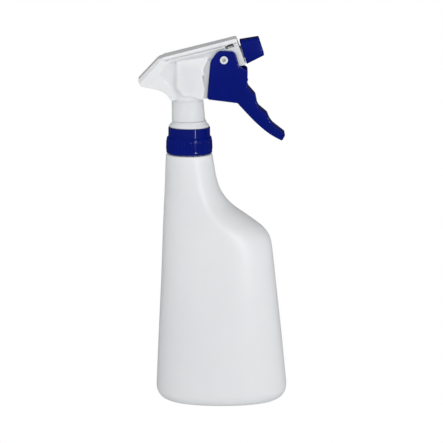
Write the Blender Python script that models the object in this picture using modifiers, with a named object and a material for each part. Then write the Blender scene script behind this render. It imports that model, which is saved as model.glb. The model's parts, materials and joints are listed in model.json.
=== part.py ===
"""Trigger spray bottle: an oval blow-moulded bottle, a screw collar and a pump head with its inner parts.

Every size is in metres, in a frame whose Z axis is the axis of the bottle's neck and whose X axis points
the way the nozzle sprays. The last step moves the whole object sideways, so that the origin is the middle
of its footprint on the surface that it stands on.
"""

import math

import bmesh
import bpy
from mathutils import Matrix, Vector

MM = 0.001
SEAT_GAP = 0.2 * MM  # between two pieces that touch in the real object
RUN_GAP = 0.35 * MM  # between two pieces that slide or turn past each other
CUT = 1.0 * MM  # how far a cutter reaches past what it cuts
ROUND = 32  # sides of a round piece

# ---------------------------------------------------------------- driving sizes
# Bottle
BOTTLE_WALL = 1.1 * MM
SHOULDER_Z = 186.6 * MM
FINISH_H = 16.0 * MM  # neck finish, from the shoulder to the rim
RIM_Z = SHOULDER_Z + FINISH_H  # the head and the collar are measured from here
NECK_R = 12.5 * MM
NECK_BORE_R = NECK_R - 1.9 * MM
SHOULDER_R = NECK_R + 4.8 * MM
BASE_FILLET = 10.0 * MM
FOOT_WIDTH = 5.0 * MM
PUSH_UP = 2.2 * MM
SHOULDER_CORNER = 1.6 * MM

# Screw thread of the neck and the collar
THREAD_PITCH = 4.233 * MM
THREAD_DEPTH = 1.2 * MM
THREAD_WIDTH = 2.2 * MM
THREAD_TURNS = 1.5
THREAD_GAP = 0.4 * MM
THREAD_START = math.radians(3.0)  # so that the ridge's sections fall between the neck's sides
THREAD_DROP = 6.6 * MM  # from the rim down to the middle of the ridge

# Bottle body. Each section: height, back edge, place of the greatest depth, front edge, half depth, and how
# square its back and its front are (2 is an ellipse; less gives a soft ridge, as down the front shoulder).
BODY_SECTIONS = [
    (13.0, -25.0, 23.6, 72.5, 34.0, 2.2, 2.2),
    (50.0, -23.3, 22.7, 68.8, 33.0, 2.3, 2.3),
    (90.0, -21.3, 21.5, 64.4, 31.0, 2.5, 2.5),
    (110.0, -20.5, 21.0, 62.2, 29.4, 2.6, 2.5),
    (120.0, -20.1, 22.0, 60.8, 28.2, 2.6, 2.3),
    (126.0, -19.9, 23.0, 58.6, 27.4, 2.5, 2.1),
    (132.0, -19.7, 22.0, 53.6, 26.4, 2.5, 1.9),
    (139.2, -19.3, 17.0, 44.2, 25.0, 2.4, 1.75),
    (148.3, -18.9, 11.0, 31.6, 22.9, 2.3, 1.75),
    (157.3, -18.4, 7.0, 24.2, 20.8, 2.2, 1.85),
    (167.0, -18.0, 3.5, 20.4, 19.2, 2.1, 1.95),
    (178.0, -17.6, 0.6, 18.3, 17.9, 2.0, 2.0),
]
BODY_SIDES = 36
BODY_RINGS = 14

# Closure
COLLAR_R = NECK_R + 4.0 * MM
COLLAR_TOP_R = NECK_R + 2.9 * MM
COLLAR_BOTTOM_Z = SHOULDER_Z + 0.8 * MM
COLLAR_STEP_Z = RIM_Z - 3.6 * MM
COLLAR_STEP = 1.2 * MM
COLLAR_FOOT = 0.5 * MM  # how far the collar's foot stands out
RIB_HEIGHT = 0.4 * MM
RIB_COUNT = 42
RIB_FOOT = 0.9 * MM  # plain band under the ribs
RIB_HEAD = 1.4 * MM  # plain band above them
LIP = 1.0 * MM
GASKET = 1.2 * MM
FLANGE = 1.1 * MM
FLANGE_R = NECK_R + 0.2 * MM
GROOVE_R = NECK_R - 1.3 * MM

# Pump body
SLEEVE_R = NECK_R - 1.6 * MM
SLEEVE_WALL = 1.5 * MM
FLARE_R = SLEEVE_R + 3.8 * MM
FLARE_H = 4.4 * MM
SLEEVE_H = 13.5 * MM  # above the flare
ROOF = 2.0 * MM
INTAKE_R = 5.2 * MM
INTAKE_BORE_R = 4.0 * MM
CHANNEL_R = 1.5 * MM
STEM_R = 5.5 * MM
BARREL_R = 4.7 * MM
BARREL_BORE_R = 2.0 * MM
CYLINDER_BORE_R = 6.9 * MM
CYLINDER_R = CYLINDER_BORE_R + 1.8 * MM
PIVOT_R = 2.85 * MM
PIVOT_HALF = 12.2 * MM
PIVOT_WALL = 1.6 * MM  # round the pivot, between the lever's plates
PIVOT_DIMPLE = 3.0 * MM
CYLINDER_FLOOR = 3.5 * MM
WEB_THICK = 3.0 * MM
LUG_THICK = 1.2 * MM
LUG_HALF = 7.7 * MM
LUG_POST_HALF = 2.5 * MM

# Head frame: u runs along the spray, v up and across it. Its zero is the middle of the nozzle's back face.
HEAD_TILT = math.radians(18.0)
NOZZLE_BACK = Vector((39.6 * MM, 0.0, RIM_Z + 59.7 * MM))
PIVOT_U = -14.87 * MM
PIVOT_V = -0.42 * MM
PUMP_DROP = 17.0 * MM  # from the barrel's axis down to the cylinder's axis
SPINNER_U = -4.0 * MM
BARREL_FRONT_U = 9.0 * MM
CYLINDER_FLOOR_U = -40.0 * MM
CYLINDER_MOUTH_U = -16.5 * MM
LUG_BACK_U = -10.2 * MM
LUG_FRONT_U = -4.8 * MM
LUG_V = 6.9 * MM
PORT_V = -PUMP_DROP - 3.0 * MM

# Trigger and piston
TRIGGER_HALF = 11.4 * MM
TRIGGER_WAIST_X = 37.0 * MM
TRIGGER_TAPER = 0.11  # how much each side draws in for each metre in front of the waist
TRIGGER_PLATE = 1.4 * MM
TRIGGER_FRONT = 2.0 * MM
TRIGGER_RIM = 0.9 * MM
PIVOT_GAP = 0.12 * MM
PUSHER_HALF = 2.5 * MM
PUSHER_LENGTH = 2.6 * MM
PISTON_ROD_R = 3.2 * MM
PISTON_NOSE_U = -5.5 * MM
PISTON_HEAD_U = CYLINDER_FLOOR_U + 12.5 * MM
PISTON_LENGTH = 7.2 * MM  # the two discs with the seals' grooves
LAND = 1.8 * MM
DISC_R = CYLINDER_BORE_R - 0.15 * MM
SPRING_WIRE = 0.8 * MM
SPRING_TURNS = 5.5

# Nozzle
NOZZLE_LENGTH = 14.1 * MM
NOZZLE_BACK_SIDE = 17.6 * MM
NOZZLE_FRONT_SIDE = 13.8 * MM
NOZZLE_CORNER = 2.2 * MM
NOZZLE_EDGE = 0.8 * MM
ORIFICE_R = 0.4 * MM
BEAD = 0.4 * MM
BEAD_U = 6.0 * MM
BEAD_LENGTH = 1.0 * MM

# Shroud, as places in the neck's frame
TAIL_TIP = (-37.6 * MM, RIM_Z + 39.2 * MM)
TAIL_HEEL = (-35.4 * MM, RIM_Z + 35.4 * MM)
TOP_BACK = (-22.4 * MM, RIM_Z + 55.8 * MM)
TOP_FRONT = (34.6 * MM, RIM_Z + 70.3 * MM)
FACE_FOOT = (41.6 * MM, RIM_Z + 50.8 * MM)
ARM_BACK = (9.0 * MM, RIM_Z + 43.4 * MM)
WEB_HALF = 8.2 * MM
SIDE_TAPER = 0.035  # each side leans out by this much for each metre towards the tail
TOP_SLOPE = math.radians(14.1)
SHROUD_WALL = 1.3 * MM
BULGE_HALF = 14.2 * MM
BULGE_BACK = -9.6 * MM
BULGE_FRONT = 11.4 * MM
BULGE_TOP_Z = RIM_Z + 55.4 * MM
BULGE_BOTTOM_Z = RIM_Z + 26.4 * MM
BULGE_LEAN = 2.2 * MM  # how much narrower the bulge's top is than its middle
BULGE_SLOPE = 12.0 * MM  # over this height
BULGE_TUCK = 1.2 * MM  # how much narrower its foot is, over the height below
BULGE_FOOT = 5.5 * MM
SKIRT_R = SLEEVE_R + 1.6 * MM
SKIRT_OFFSET = 0.6 * MM
CAP_THICK = 2.7 * MM
CAP_OVERHANG = 0.9 * MM
CAP_BEVEL = 2.1 * MM
SLIT_X = 8.7 * MM  # the skirt is open in front of this

# Outlet valve and swirl insert, which stand in the barrel's end
SPINNER_R = 3.3 * MM
OUTLET_VALVE_H = 2.0 * MM
OUTLET_SPRING_H = 3.4 * MM
OUTLET_PIN_R = 0.9 * MM
FLUTE = 0.8 * MM

# Dip tube and valves
TUBE_R = 2.7 * MM
TUBE_BORE_R = 1.9 * MM
TUBE_END_Z = 12.0 * MM
STRAINER_LENGTH = 9.0 * MM
BALL_R = 2.4 * MM
BALL_LIFT = 1.5 * MM

# ---------------------------------------------------------------- heights that follow from them
THREAD_MIDDLE_Z = RIM_Z - THREAD_DROP
GASKET_Z = RIM_Z + SEAT_GAP
FLANGE_Z = GASKET_Z + GASKET + SEAT_GAP
LIP_Z = FLANGE_Z + FLANGE + SEAT_GAP
COLLAR_TOP_Z = LIP_Z + LIP
FLARE_Z = COLLAR_TOP_Z + SEAT_GAP
SLEEVE_Z = FLARE_Z + FLARE_H
ROOF_Z = SLEEVE_Z + SLEEVE_H
INTAKE_Z = RIM_Z - 6.0 * MM
CHAMBER_TOP_Z = SLEEVE_Z + 7.0 * MM
SEAT_TOP_Z = CHAMBER_TOP_Z - 2 * BALL_R - BALL_LIFT - 0.6 * MM
TUBE_SOCKET_Z = INTAKE_Z + 8.0 * MM
PLATE_INNER = TRIGGER_HALF - TRIGGER_PLATE
OUTLET_SEAT_U = SPINNER_U + SEAT_GAP
SPINNER_BACK_U = OUTLET_SEAT_U + OUTLET_VALVE_H + OUTLET_SPRING_H

SPRAY = Vector((math.cos(HEAD_TILT), 0.0, math.sin(HEAD_TILT)))
LIFT = Vector((-math.sin(HEAD_TILT), 0.0, math.cos(HEAD_TILT)))


def head_point(u, v):
    """The point of the mid-plane at u along the spray and v across it."""
    return NOZZLE_BACK + SPRAY * u + LIFT * v


# ---------------------------------------------------------------- scene, materials and small tools
for old in list(bpy.data.objects):
    bpy.data.objects.remove(old, do_unlink=True)

parts = bpy.data.collections.new("spray_bottle")
cutters = bpy.data.collections.new("cutters")
bpy.context.scene.collection.children.link(parts)
bpy.context.scene.collection.children.link(cutters)
frame = bpy.data.objects.new("footprint", None)
parts.objects.link(frame)


def material(name, colour, roughness, metallic=0.0):
    made = bpy.data.materials.new(name)
    made.use_nodes = True
    shader = made.node_tree.nodes["Principled BSDF"]
    shader.inputs["Base Color"].default_value = (*colour, 1.0)
    shader.inputs["Roughness"].default_value = roughness
    shader.inputs["Metallic"].default_value = metallic
    return made


NATURAL = material("natural_polyethylene", (0.86, 0.88, 0.88), 0.35)
WHITE = material("white_polypropylene", (0.88, 0.88, 0.87), 0.3)
BLUE = material("blue_polypropylene", (0.01, 0.02, 0.32), 0.28)
CLEAR = material("clear_polyethylene", (0.8, 0.82, 0.83), 0.25)
RUBBER = material("soft_seal", (0.7, 0.7, 0.68), 0.6)
STEEL = material("stainless_steel", (0.6, 0.6, 0.62), 0.25, 1.0)


def link(name, mesh, finish=None):
    """An object in the parts collection, or in the cutters where it has no finish."""
    made = bpy.data.objects.new(name, mesh)
    if finish:
        made.parent = frame
        parts.objects.link(made)
        mesh.materials.append(finish)
    else:
        cutters.objects.link(made)
        made.hide_render = True
        made.display_type = "WIRE"
    return made


def rounded(corners, turn=math.radians(20)):
    """The closed outline through corners of (x, z) or (x, z, radius), with an arc at each that has a radius."""
    outline = []
    for i, corner in enumerate(corners):
        here = Vector(corner[:2])
        radius = corner[2] if len(corner) > 2 else 0.0
        before = Vector(corners[i - 1][:2]) - here
        after = Vector(corners[(i + 1) % len(corners)][:2]) - here
        a, b = before.normalized(), after.normalized()
        half = a.angle(b) / 2
        if not radius or half > math.radians(89):
            outline.append(here)
            continue
        reach = min(radius / math.tan(half), 0.499 * min(before.length, after.length))
        centre = here + (a + b).normalized() * (reach / math.cos(half))
        start, end = here + a * reach - centre, here + b * reach - centre
        sweep = start.angle_signed(end)
        steps = max(1, round(abs(sweep) / turn))
        for k in range(steps + 1):
            angle = -sweep * k / steps
            spun = Matrix.Rotation(angle, 2) @ start
            outline.append(centre + spun)
    return outline


def extruded(name, outline, half, finish=None):
    """A prism of a side outline in X and Z, half wide each way along Y."""
    curve = bpy.data.curves.new(name, "CURVE")
    curve.dimensions = "2D"
    curve.fill_mode = "BOTH"
    curve.extrude = half
    spline = curve.splines.new("POLY")
    spline.points.add(len(outline) - 1)
    for point, (x, z) in zip(spline.points, outline):
        point.co = (x, z, 0.0, 1.0)
    spline.use_cyclic_u = True
    flat = bpy.data.objects.new(name + "_curve", curve)
    bpy.context.scene.collection.objects.link(flat)
    graph = bpy.context.evaluated_depsgraph_get()
    mesh = bpy.data.meshes.new_from_object(flat.evaluated_get(graph))
    bpy.data.objects.remove(flat)
    bpy.data.curves.remove(curve)
    mesh.transform(Matrix.Rotation(math.pi / 2, 4, "X"))
    tidy(mesh)
    return link(name, mesh, finish)


def tidy(mesh):
    """Welds the mesh's doubles and turns its faces outwards."""
    bm = bmesh.new()
    bm.from_mesh(mesh)
    bmesh.ops.remove_doubles(bm, verts=bm.verts, dist=1e-6)
    bmesh.ops.dissolve_degenerate(bm, edges=bm.edges, dist=1e-7)
    bmesh.ops.recalc_face_normals(bm, faces=bm.faces)
    bm.to_mesh(mesh)
    bm.free()


def turned(name, profile, finish=None, sides=ROUND):
    """A solid turned about its own Z from a closed profile of (radius, height), down the outer side first."""
    mesh = bpy.data.meshes.new(name)
    bm = bmesh.new()
    points = [bm.verts.new((r, 0.0, z)) for r, z in profile]
    on_axis = [i for i, (r, _) in enumerate(profile) if r == 0.0]
    for i, point in enumerate(points):
        j = (i + 1) % len(points)
        if not (i in on_axis and j in on_axis):
            bm.edges.new((point, points[j]))
    bm.to_mesh(mesh)
    bm.free()
    made = link(name, mesh, finish)
    screw = made.modifiers.new("turn", "SCREW")
    screw.steps = screw.render_steps = sides
    screw.use_merge_vertices = True
    screw.merge_threshold = 1e-6
    return made


def cylinder(name, radius, low, high, finish=None, sides=ROUND):
    """A rod about its own Z, from low to high."""
    bm = bmesh.new()
    bmesh.ops.create_cone(
        bm, cap_ends=True, segments=sides, radius1=radius, radius2=radius, depth=high - low,
        matrix=Matrix.Translation((0.0, 0.0, (low + high) / 2)),
    )
    mesh = bpy.data.meshes.new(name)
    bm.to_mesh(mesh)
    bm.free()
    return link(name, mesh, finish)


def block(name, low, high, finish=None):
    """A box between two corners."""
    bm = bmesh.new()
    bmesh.ops.create_cube(bm, size=1.0)
    size = Vector(high) - Vector(low)
    centre = (Vector(high) + Vector(low)) / 2
    bmesh.ops.transform(bm, matrix=Matrix.Translation(centre) @ Matrix.Diagonal((*size, 1.0)), verts=bm.verts)
    mesh = bpy.data.meshes.new(name)
    bm.to_mesh(mesh)
    bm.free()
    return link(name, mesh, finish)


def along_spray(piece, u=0.0, v=0.0):
    """Turns a piece's own Z to the spray direction and puts its origin at (u, v) in the head frame."""
    piece.location = head_point(u, v)
    piece.rotation_euler = (0.0, math.pi / 2 - HEAD_TILT, 0.0)
    return piece


def across(piece, u, v):
    """Turns a piece's own Z to the Y axis, with its origin at (u, v) in the head frame."""
    piece.location = head_point(u, v)
    piece.rotation_euler = (math.pi / 2, 0.0, 0.0)
    return piece


def combine(piece, tool, operation):
    """Joins a tool to a piece, or cuts it away. The tool stands in the same frame as the piece."""
    if tool.parent is None:
        tool.parent = frame
    step = piece.modifiers.new(operation.lower() + "_" + tool.name, "BOOLEAN")
    step.operation = operation
    step.object = tool
    return piece


def bevel(piece, width, segments=1, angle=math.radians(40)):
    step = piece.modifiers.new("soft_edges", "BEVEL")
    step.width = width
    step.segments = segments
    step.limit_method = "ANGLE"
    step.angle_limit = angle
    return piece


def helix(name, inner, outer, middle_z, inner_width, outer_width):
    """One thread ridge as a solid: a trapezoid between two radii, swept up a right-hand helix."""
    steps = round(18 * THREAD_TURNS)
    rise = THREAD_PITCH * THREAD_TURNS
    bm = bmesh.new()
    section = [
        bm.verts.new((r, 0.0, middle_z - rise / 2 + dz))
        for r, dz in (
            (inner, -inner_width / 2),
            (outer, -outer_width / 2),
            (outer, outer_width / 2),
            (inner, inner_width / 2),
        )
    ]
    face = bm.faces.new(section)
    bmesh.ops.spin(
        bm, geom=[face], cent=(0.0, 0.0, 0.0), axis=(0.0, 0.0, 1.0), angle=2 * math.pi * THREAD_TURNS,
        dvec=(0.0, 0.0, rise / steps), steps=steps,
    )
    bmesh.ops.rotate(bm, verts=bm.verts, matrix=Matrix.Rotation(THREAD_START, 3, "Z"))
    bmesh.ops.recalc_face_normals(bm, faces=bm.faces)
    mesh = bpy.data.meshes.new(name)
    bm.to_mesh(mesh)
    bm.free()
    return link(name, mesh)


# ---------------------------------------------------------------- bottle
def section_at(z):
    """The section of the bottle's body at a height, on a smooth curve through the listed ones."""
    heights = [row[0] * MM for row in BODY_SECTIONS]
    i = max(k for k in range(len(heights) - 1) if heights[k] <= z or k == 0)
    rows = [BODY_SECTIONS[min(max(k, 0), len(heights) - 1)] for k in (i - 1, i, i + 1, i + 2)]
    t = (z - heights[i]) / (heights[i + 1] - heights[i])
    span = rows[2][0] - rows[1][0]
    found = []
    for column in range(1, 7):
        p0, p1, p2, p3 = (row[column] for row in rows)
        m1 = (p2 - p0) / max(rows[2][0] - rows[0][0], 1e-9) * span
        m2 = (p3 - p1) / max(rows[3][0] - rows[1][0], 1e-9) * span
        found.append(
            (2 * t**3 - 3 * t**2 + 1) * p1 + (t**3 - 2 * t**2 + t) * m1
            + (3 * t**2 - 2 * t**3) * p2 + (t**3 - t**2) * m2
        )
    return found


def ring(bm, z, section, inset=0.0):
    """One closed ring of the bottle: a squared ellipse whose back and front halves differ."""
    back, ridge, front, depth, back_square, front_square = section
    points = []
    for k in range(BODY_SIDES):
        angle = 2 * math.pi * k / BODY_SIDES
        c, s = math.cos(angle), math.sin(angle)
        square = front_square if c > 0 else back_square
        reach = (front - ridge if c > 0 else ridge - back) * MM - inset
        x = ridge * MM + math.copysign(abs(c) ** (2 / square), c) * reach
        y = math.copysign(abs(s) ** (2 / square), s) * (depth * MM - inset)
        points.append(bm.verts.new((x, y, z)))
    return points


def round_section(radius):
    return (-radius / MM, 0.0, radius / MM, radius / MM, 2.0, 2.0)


def bottle_loft(name, grow, floor, neck_r, top, finish=None):
    """The bottle's outside, or its inside where grow is the wall: rings from the floor's middle to the top."""
    bm = bmesh.new()
    foot = section_at(BODY_SECTIONS[0][0] * MM)
    inner_foot = BASE_FILLET + FOOT_WIDTH
    fillet = BASE_FILLET - grow
    rings = [
        ring(bm, floor + PUSH_UP, foot, inner_foot + 2.5 * PUSH_UP),
        ring(bm, floor, foot, inner_foot),
        ring(bm, floor, foot, BASE_FILLET),
    ]
    for k in range(1, 4):
        angle = math.pi / 2 * k / 4
        inset = BASE_FILLET - fillet * math.sin(angle)
        rings.append(ring(bm, BASE_FILLET - fillet * math.cos(angle), foot, inset))
    low, high = BODY_SECTIONS[0][0] * MM, BODY_SECTIONS[-1][0] * MM
    for k in range(BODY_RINGS + 1):
        z = low + (high - low) * k / BODY_RINGS
        rings.append(ring(bm, z, section_at(min(z, high - 1e-6)), grow))
    corner = SHOULDER_CORNER
    radius = SHOULDER_R - grow
    shoulder = SHOULDER_Z - grow
    rings.append(ring(bm, shoulder - corner, round_section(radius)))
    rings.append(ring(bm, shoulder - corner * 0.3, round_section(radius - corner * 0.3)))
    rings.append(ring(bm, shoulder, round_section(radius - corner)))
    rings.append(ring(bm, shoulder, round_section(neck_r)))
    rings.append(ring(bm, top, round_section(neck_r)))
    for below, above in zip(rings, rings[1:]):
        for k in range(BODY_SIDES):
            j = (k + 1) % BODY_SIDES
            bm.faces.new((below[k], below[j], above[j], above[k]))
    bm.faces.new(reversed(rings[0]))
    bm.faces.new(rings[-1])
    bmesh.ops.recalc_face_normals(bm, faces=bm.faces)
    mesh = bpy.data.meshes.new(name)
    bm.to_mesh(mesh)
    bm.free()
    return link(name, mesh, finish)


def make_bottle():
    bottle = bottle_loft("bottle", 0.0, 0.0, NECK_R, RIM_Z, NATURAL)
    thread = helix(
        "neck_thread", NECK_R - 0.6 * MM, NECK_R + THREAD_DEPTH, THREAD_MIDDLE_Z,
        THREAD_WIDTH * 1.25, THREAD_WIDTH * 0.5,
    )
    combine(bottle, thread, "UNION")
    inside = bottle_loft("bottle_inside", BOTTLE_WALL, BOTTLE_WALL, NECK_BORE_R, RIM_Z + CUT)
    return combine(bottle, inside, "DIFFERENCE")



# ---------------------------------------------------------------- collar and gasket
def make_collar():
    outer_wall = NECK_R + THREAD_DEPTH + THREAD_GAP
    lip_bore = GROOVE_R + RUN_GAP
    collar = turned(
        "collar",
        [
            (COLLAR_TOP_R - 0.4 * MM, COLLAR_TOP_Z), (COLLAR_TOP_R, COLLAR_TOP_Z - 0.5 * MM),
            (COLLAR_TOP_R, COLLAR_STEP_Z + COLLAR_STEP * 0.3), (COLLAR_R, COLLAR_STEP_Z - COLLAR_STEP * 0.7),
            (COLLAR_R + COLLAR_FOOT, COLLAR_BOTTOM_Z + COLLAR_FOOT), (COLLAR_R, COLLAR_BOTTOM_Z),
            (outer_wall, COLLAR_BOTTOM_Z), (outer_wall, LIP_Z), (lip_bore, LIP_Z), (lip_bore, COLLAR_TOP_Z),
        ],
        BLUE,
    )
    combine(collar, rib_ring("collar_ribs"), "UNION")
    thread = helix(
        "collar_thread", NECK_R + THREAD_GAP, outer_wall + 0.5 * MM, THREAD_MIDDLE_Z + THREAD_PITCH / 2,
        THREAD_WIDTH * 0.45, THREAD_WIDTH,
    )
    combine(collar, thread, "UNION")
    return collar


def rib_ring(name):
    """The collar's grip: a turned band whose every other corner stands proud."""
    bm = bmesh.new()
    low, high = COLLAR_BOTTOM_Z + RIB_FOOT, COLLAR_STEP_Z - RIB_HEAD
    bmesh.ops.create_cone(
        bm, cap_ends=True, segments=2 * RIB_COUNT, radius1=COLLAR_R + COLLAR_FOOT, radius2=COLLAR_R + 0.1 * MM,
        depth=high - low, matrix=Matrix.Translation((0.0, 0.0, (low + high) / 2)),
    )
    for point in bm.verts:
        corner = round(math.atan2(point.co.y, point.co.x) / math.pi * RIB_COUNT)
        radius = math.hypot(point.co.x, point.co.y)
        proud = RIB_HEIGHT if corner % 2 else 0.0
        point.co.x *= (radius + proud) / radius
        point.co.y *= (radius + proud) / radius
    mesh = bpy.data.meshes.new(name)
    bm.to_mesh(mesh)
    bm.free()
    band = link(name, mesh)
    hole = cylinder(name + "_hole", COLLAR_R - 0.5 * MM, low - CUT, high + CUT)
    combine(band, hole, "DIFFERENCE")
    return band


def make_gasket():
    bore = NECK_BORE_R - 0.8 * MM
    return turned(
        "neck_gasket",
        [
            (FLANGE_R, GASKET_Z + GASKET), (FLANGE_R, GASKET_Z), (bore, GASKET_Z), (bore, GASKET_Z + GASKET),
        ],
        RUBBER,
    )


# ---------------------------------------------------------------- pump body
def make_pump_body():
    chamber_r = SLEEVE_R - SLEEVE_WALL
    body = turned(
        "pump_body",
        [
            (0.0, ROOF_Z), (SLEEVE_R - 0.5 * MM, ROOF_Z), (SLEEVE_R, ROOF_Z - 0.5 * MM), (SLEEVE_R, SLEEVE_Z),
            (SLEEVE_R + 1.1 * MM, SLEEVE_Z), (SLEEVE_R + 1.6 * MM, SLEEVE_Z - 1.0 * MM),
            (SLEEVE_R + 2.4 * MM, SLEEVE_Z - 2.2 * MM), (FLARE_R - 0.2 * MM, FLARE_Z + 1.2 * MM),
            (FLARE_R, FLARE_Z + 0.6 * MM), (FLARE_R - 0.1 * MM, FLARE_Z), (GROOVE_R, FLARE_Z),
            (GROOVE_R, FLANGE_Z + FLANGE), (FLANGE_R, FLANGE_Z + FLANGE), (FLANGE_R, FLANGE_Z),
            (chamber_r, FLANGE_Z), (chamber_r, ROOF_Z - ROOF), (INTAKE_R, ROOF_Z - ROOF),
            (INTAKE_R, INTAKE_Z), (INTAKE_BORE_R, INTAKE_Z), (INTAKE_BORE_R, CHAMBER_TOP_Z),
            (0.0, CHAMBER_TOP_Z),
        ],
        WHITE,
    )
    stem_top = head_point(NECK_U, 0.0).z
    combine(body, cylinder("stem", STEM_R, ROOF_Z - CUT, stem_top, sides=20), "UNION")
    shell = cylinder("pump_cylinder", CYLINDER_R, CYLINDER_FLOOR_U - CYLINDER_FLOOR, CYLINDER_MOUTH_U, sides=28)
    combine(body, along_spray(shell, 0.0, -PUMP_DROP), "UNION")
    barrel = cylinder("barrel", BARREL_R, NECK_U - STEM_R + CUT, BARREL_FRONT_U, sides=24)
    combine(body, along_spray(barrel), "UNION")
    bead = cylinder("barrel_bead", BARREL_R + BEAD, BEAD_U, BEAD_U + BEAD_LENGTH, sides=24)
    combine(body, along_spray(bead), "UNION")
    web_front_u = CYLINDER_MOUTH_U - CYLINDER_R
    web = block("web", (CYLINDER_FLOOR_U, -WEB_THICK / 2, -PUMP_DROP), (web_front_u, WEB_THICK / 2, 0.0))
    combine(body, in_head_frame(web), "UNION")
    root_half = PLATE_INNER - RUN_GAP
    boss_root = cylinder("boss_root", PIVOT_R + PIVOT_WALL, -root_half, root_half, sides=24)
    combine(body, across(boss_root, PIVOT_U, PIVOT_V), "UNION")
    for side in (-1, 1):
        boss = across(pivot_boss(f"pivot_boss_{side}"), PIVOT_U, PIVOT_V)
        boss.rotation_euler.x *= side
        combine(body, boss, "UNION")
    post = block("lug_post", (LUG_BACK_U, -LUG_POST_HALF, CUT), (LUG_FRONT_U, LUG_POST_HALF, LUG_V))
    combine(body, in_head_frame(post), "UNION")
    combine(body, in_head_frame(snap_lug("snap_lug", LUG_HALF, 0.0)), "UNION")
    channel = cylinder("channel", CHANNEL_R, CHAMBER_TOP_Z - CUT, stem_top - 3 * CUT, sides=16)
    combine(body, channel, "DIFFERENCE")
    bore = cylinder("cylinder_bore", CYLINDER_BORE_R, CYLINDER_FLOOR_U, CYLINDER_MOUTH_U + CUT, sides=28)
    combine(body, along_spray(bore, 0.0, -PUMP_DROP), "DIFFERENCE")
    port = cylinder("cylinder_port", CHANNEL_R * 0.8, neck_u(PORT_V), CYLINDER_FLOOR_U + CUT, sides=12)
    combine(body, along_spray(port, 0.0, PORT_V), "DIFFERENCE")
    way_out = cylinder("barrel_bore", BARREL_BORE_R, NECK_U, BARREL_FRONT_U + CUT, sides=16)
    combine(body, along_spray(way_out), "DIFFERENCE")
    socket = cylinder("spinner_socket", SPINNER_R + SEAT_GAP, SPINNER_U, BARREL_FRONT_U + CUT, sides=24)
    combine(body, along_spray(socket), "DIFFERENCE")
    return body


def neck_u(v):
    """How far back along the spray the neck's axis lies, at a height v in the head frame."""
    return (v * math.sin(HEAD_TILT) - NOZZLE_BACK.x) / math.cos(HEAD_TILT)


NECK_U = neck_u(0.0)


def in_head_frame(piece):
    """Turns a piece whose X and Z are u and v to where the head is."""
    piece.location = NOZZLE_BACK
    piece.rotation_euler = (0.0, -HEAD_TILT, 0.0)
    return piece


def pivot_boss(name):
    """One pivot stub from the middle outwards, with a hollow in its end."""
    hollow = PIVOT_R * 0.5
    return turned(
        name,
        [
            (hollow, PIVOT_HALF), (PIVOT_R - 0.3 * MM, PIVOT_HALF), (PIVOT_R, PIVOT_HALF - 0.3 * MM),
            (PIVOT_R, CUT), (0.0, CUT), (0.0, PIVOT_HALF - PIVOT_DIMPLE), (hollow, PIVOT_HALF - PIVOT_DIMPLE),
        ],
        sides=24,
    )


def snap_lug(name, half, gap):
    """The bar whose ends catch in the shroud's windows, or the windows' cutter, a gap wider."""
    low = (LUG_BACK_U - gap, -half, LUG_V - LUG_THICK / 2 - gap)
    high = (LUG_FRONT_U + gap, half, LUG_V + LUG_THICK / 2 + gap)
    return block(name, low, high)


# ---------------------------------------------------------------- shroud
def half_width(x, front_half):
    """The shroud's half width grows from its front to its tail."""
    return front_half + (TOP_FRONT[0] - x) * SIDE_TAPER


def widened(piece, front_half):
    """The prism with its two sides moved to the shroud's half width at each place along it."""
    for point in piece.data.vertices:
        point.co.y = math.copysign(half_width(point.co.x, front_half), point.co.y)
    return piece


def web_outline(inset=0.0, open_below=0.0):
    """The shroud's side outline. The inset moves its closed sides in, and open_below its lower side out."""
    return rounded(
        [
            (TAIL_TIP[0] + 1.3 * inset, TAIL_TIP[1], 1.2 * MM),
            (TOP_BACK[0] + 0.4 * inset, TOP_BACK[1] - inset, 3.0 * MM),
            (TOP_FRONT[0] - inset, TOP_FRONT[1] - inset * (1 + math.tan(TOP_SLOPE)), 0.6 * MM),
            (FACE_FOOT[0] - inset, FACE_FOOT[1] - open_below, 0.6 * MM),
            (ARM_BACK[0], ARM_BACK[1] - open_below),
            (ARM_BACK[0] - 1.0 * MM, ARM_BACK[1] - 13.0 * MM),
            (-13.0 * MM, RIM_Z + 24.4 * MM - open_below * 0.2),
            (-18.0 * MM, RIM_Z + 31.4 * MM - open_below * 0.8, 12.0 * MM),
            (TAIL_HEEL[0] + 0.5 * inset, TAIL_HEEL[1] - open_below, 1.0 * MM),
        ]
    )


def cap_outline():
    """The rim that runs up the tail and along the top, thicker than the web below it."""
    t = CAP_THICK
    return rounded(
        [
            (TAIL_TIP[0], TAIL_TIP[1], 1.0 * MM), (TOP_BACK[0], TOP_BACK[1], 3.0 * MM),
            (TOP_FRONT[0], TOP_FRONT[1], 0.6 * MM), (TOP_FRONT[0] + 0.37 * t, TOP_FRONT[1] - t),
            (TOP_BACK[0] + 0.5 * t, TOP_BACK[1] - t * 1.05, 2.0 * MM),
            (TAIL_TIP[0] + 1.0 * t, TAIL_TIP[1] - 0.6 * t), (TAIL_HEEL[0], TAIL_HEEL[1], 1.0 * MM),
        ]
    )


def bulge(name, inset=0.0, open_front=0.0, open_below=0.0):
    """The shroud's swollen middle, a prism along X. Its hollow is moved in, and open in front and below."""
    half, top, bottom = BULGE_HALF - inset, BULGE_TOP_Z - inset, BULGE_BOTTOM_Z
    back, front = BULGE_BACK + inset, BULGE_FRONT + open_front
    waist = top - BULGE_SLOPE
    side = [(half - BULGE_LEAN, top), (half, waist, 5.0 * MM), (half, bottom + BULGE_FOOT, 3.0 * MM)]
    side.append((half - BULGE_TUCK, bottom - open_below))
    outline = rounded(side + [(-corner[0], *corner[1:]) for corner in reversed(side)])
    made = extruded(name, outline, (front - back) / 2)
    made.data.transform(Matrix.Rotation(math.pi / 2, 4, "Z"))
    made.data.transform(Matrix.Translation(((front + back) / 2, 0.0, 0.0)))
    return made


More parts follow.
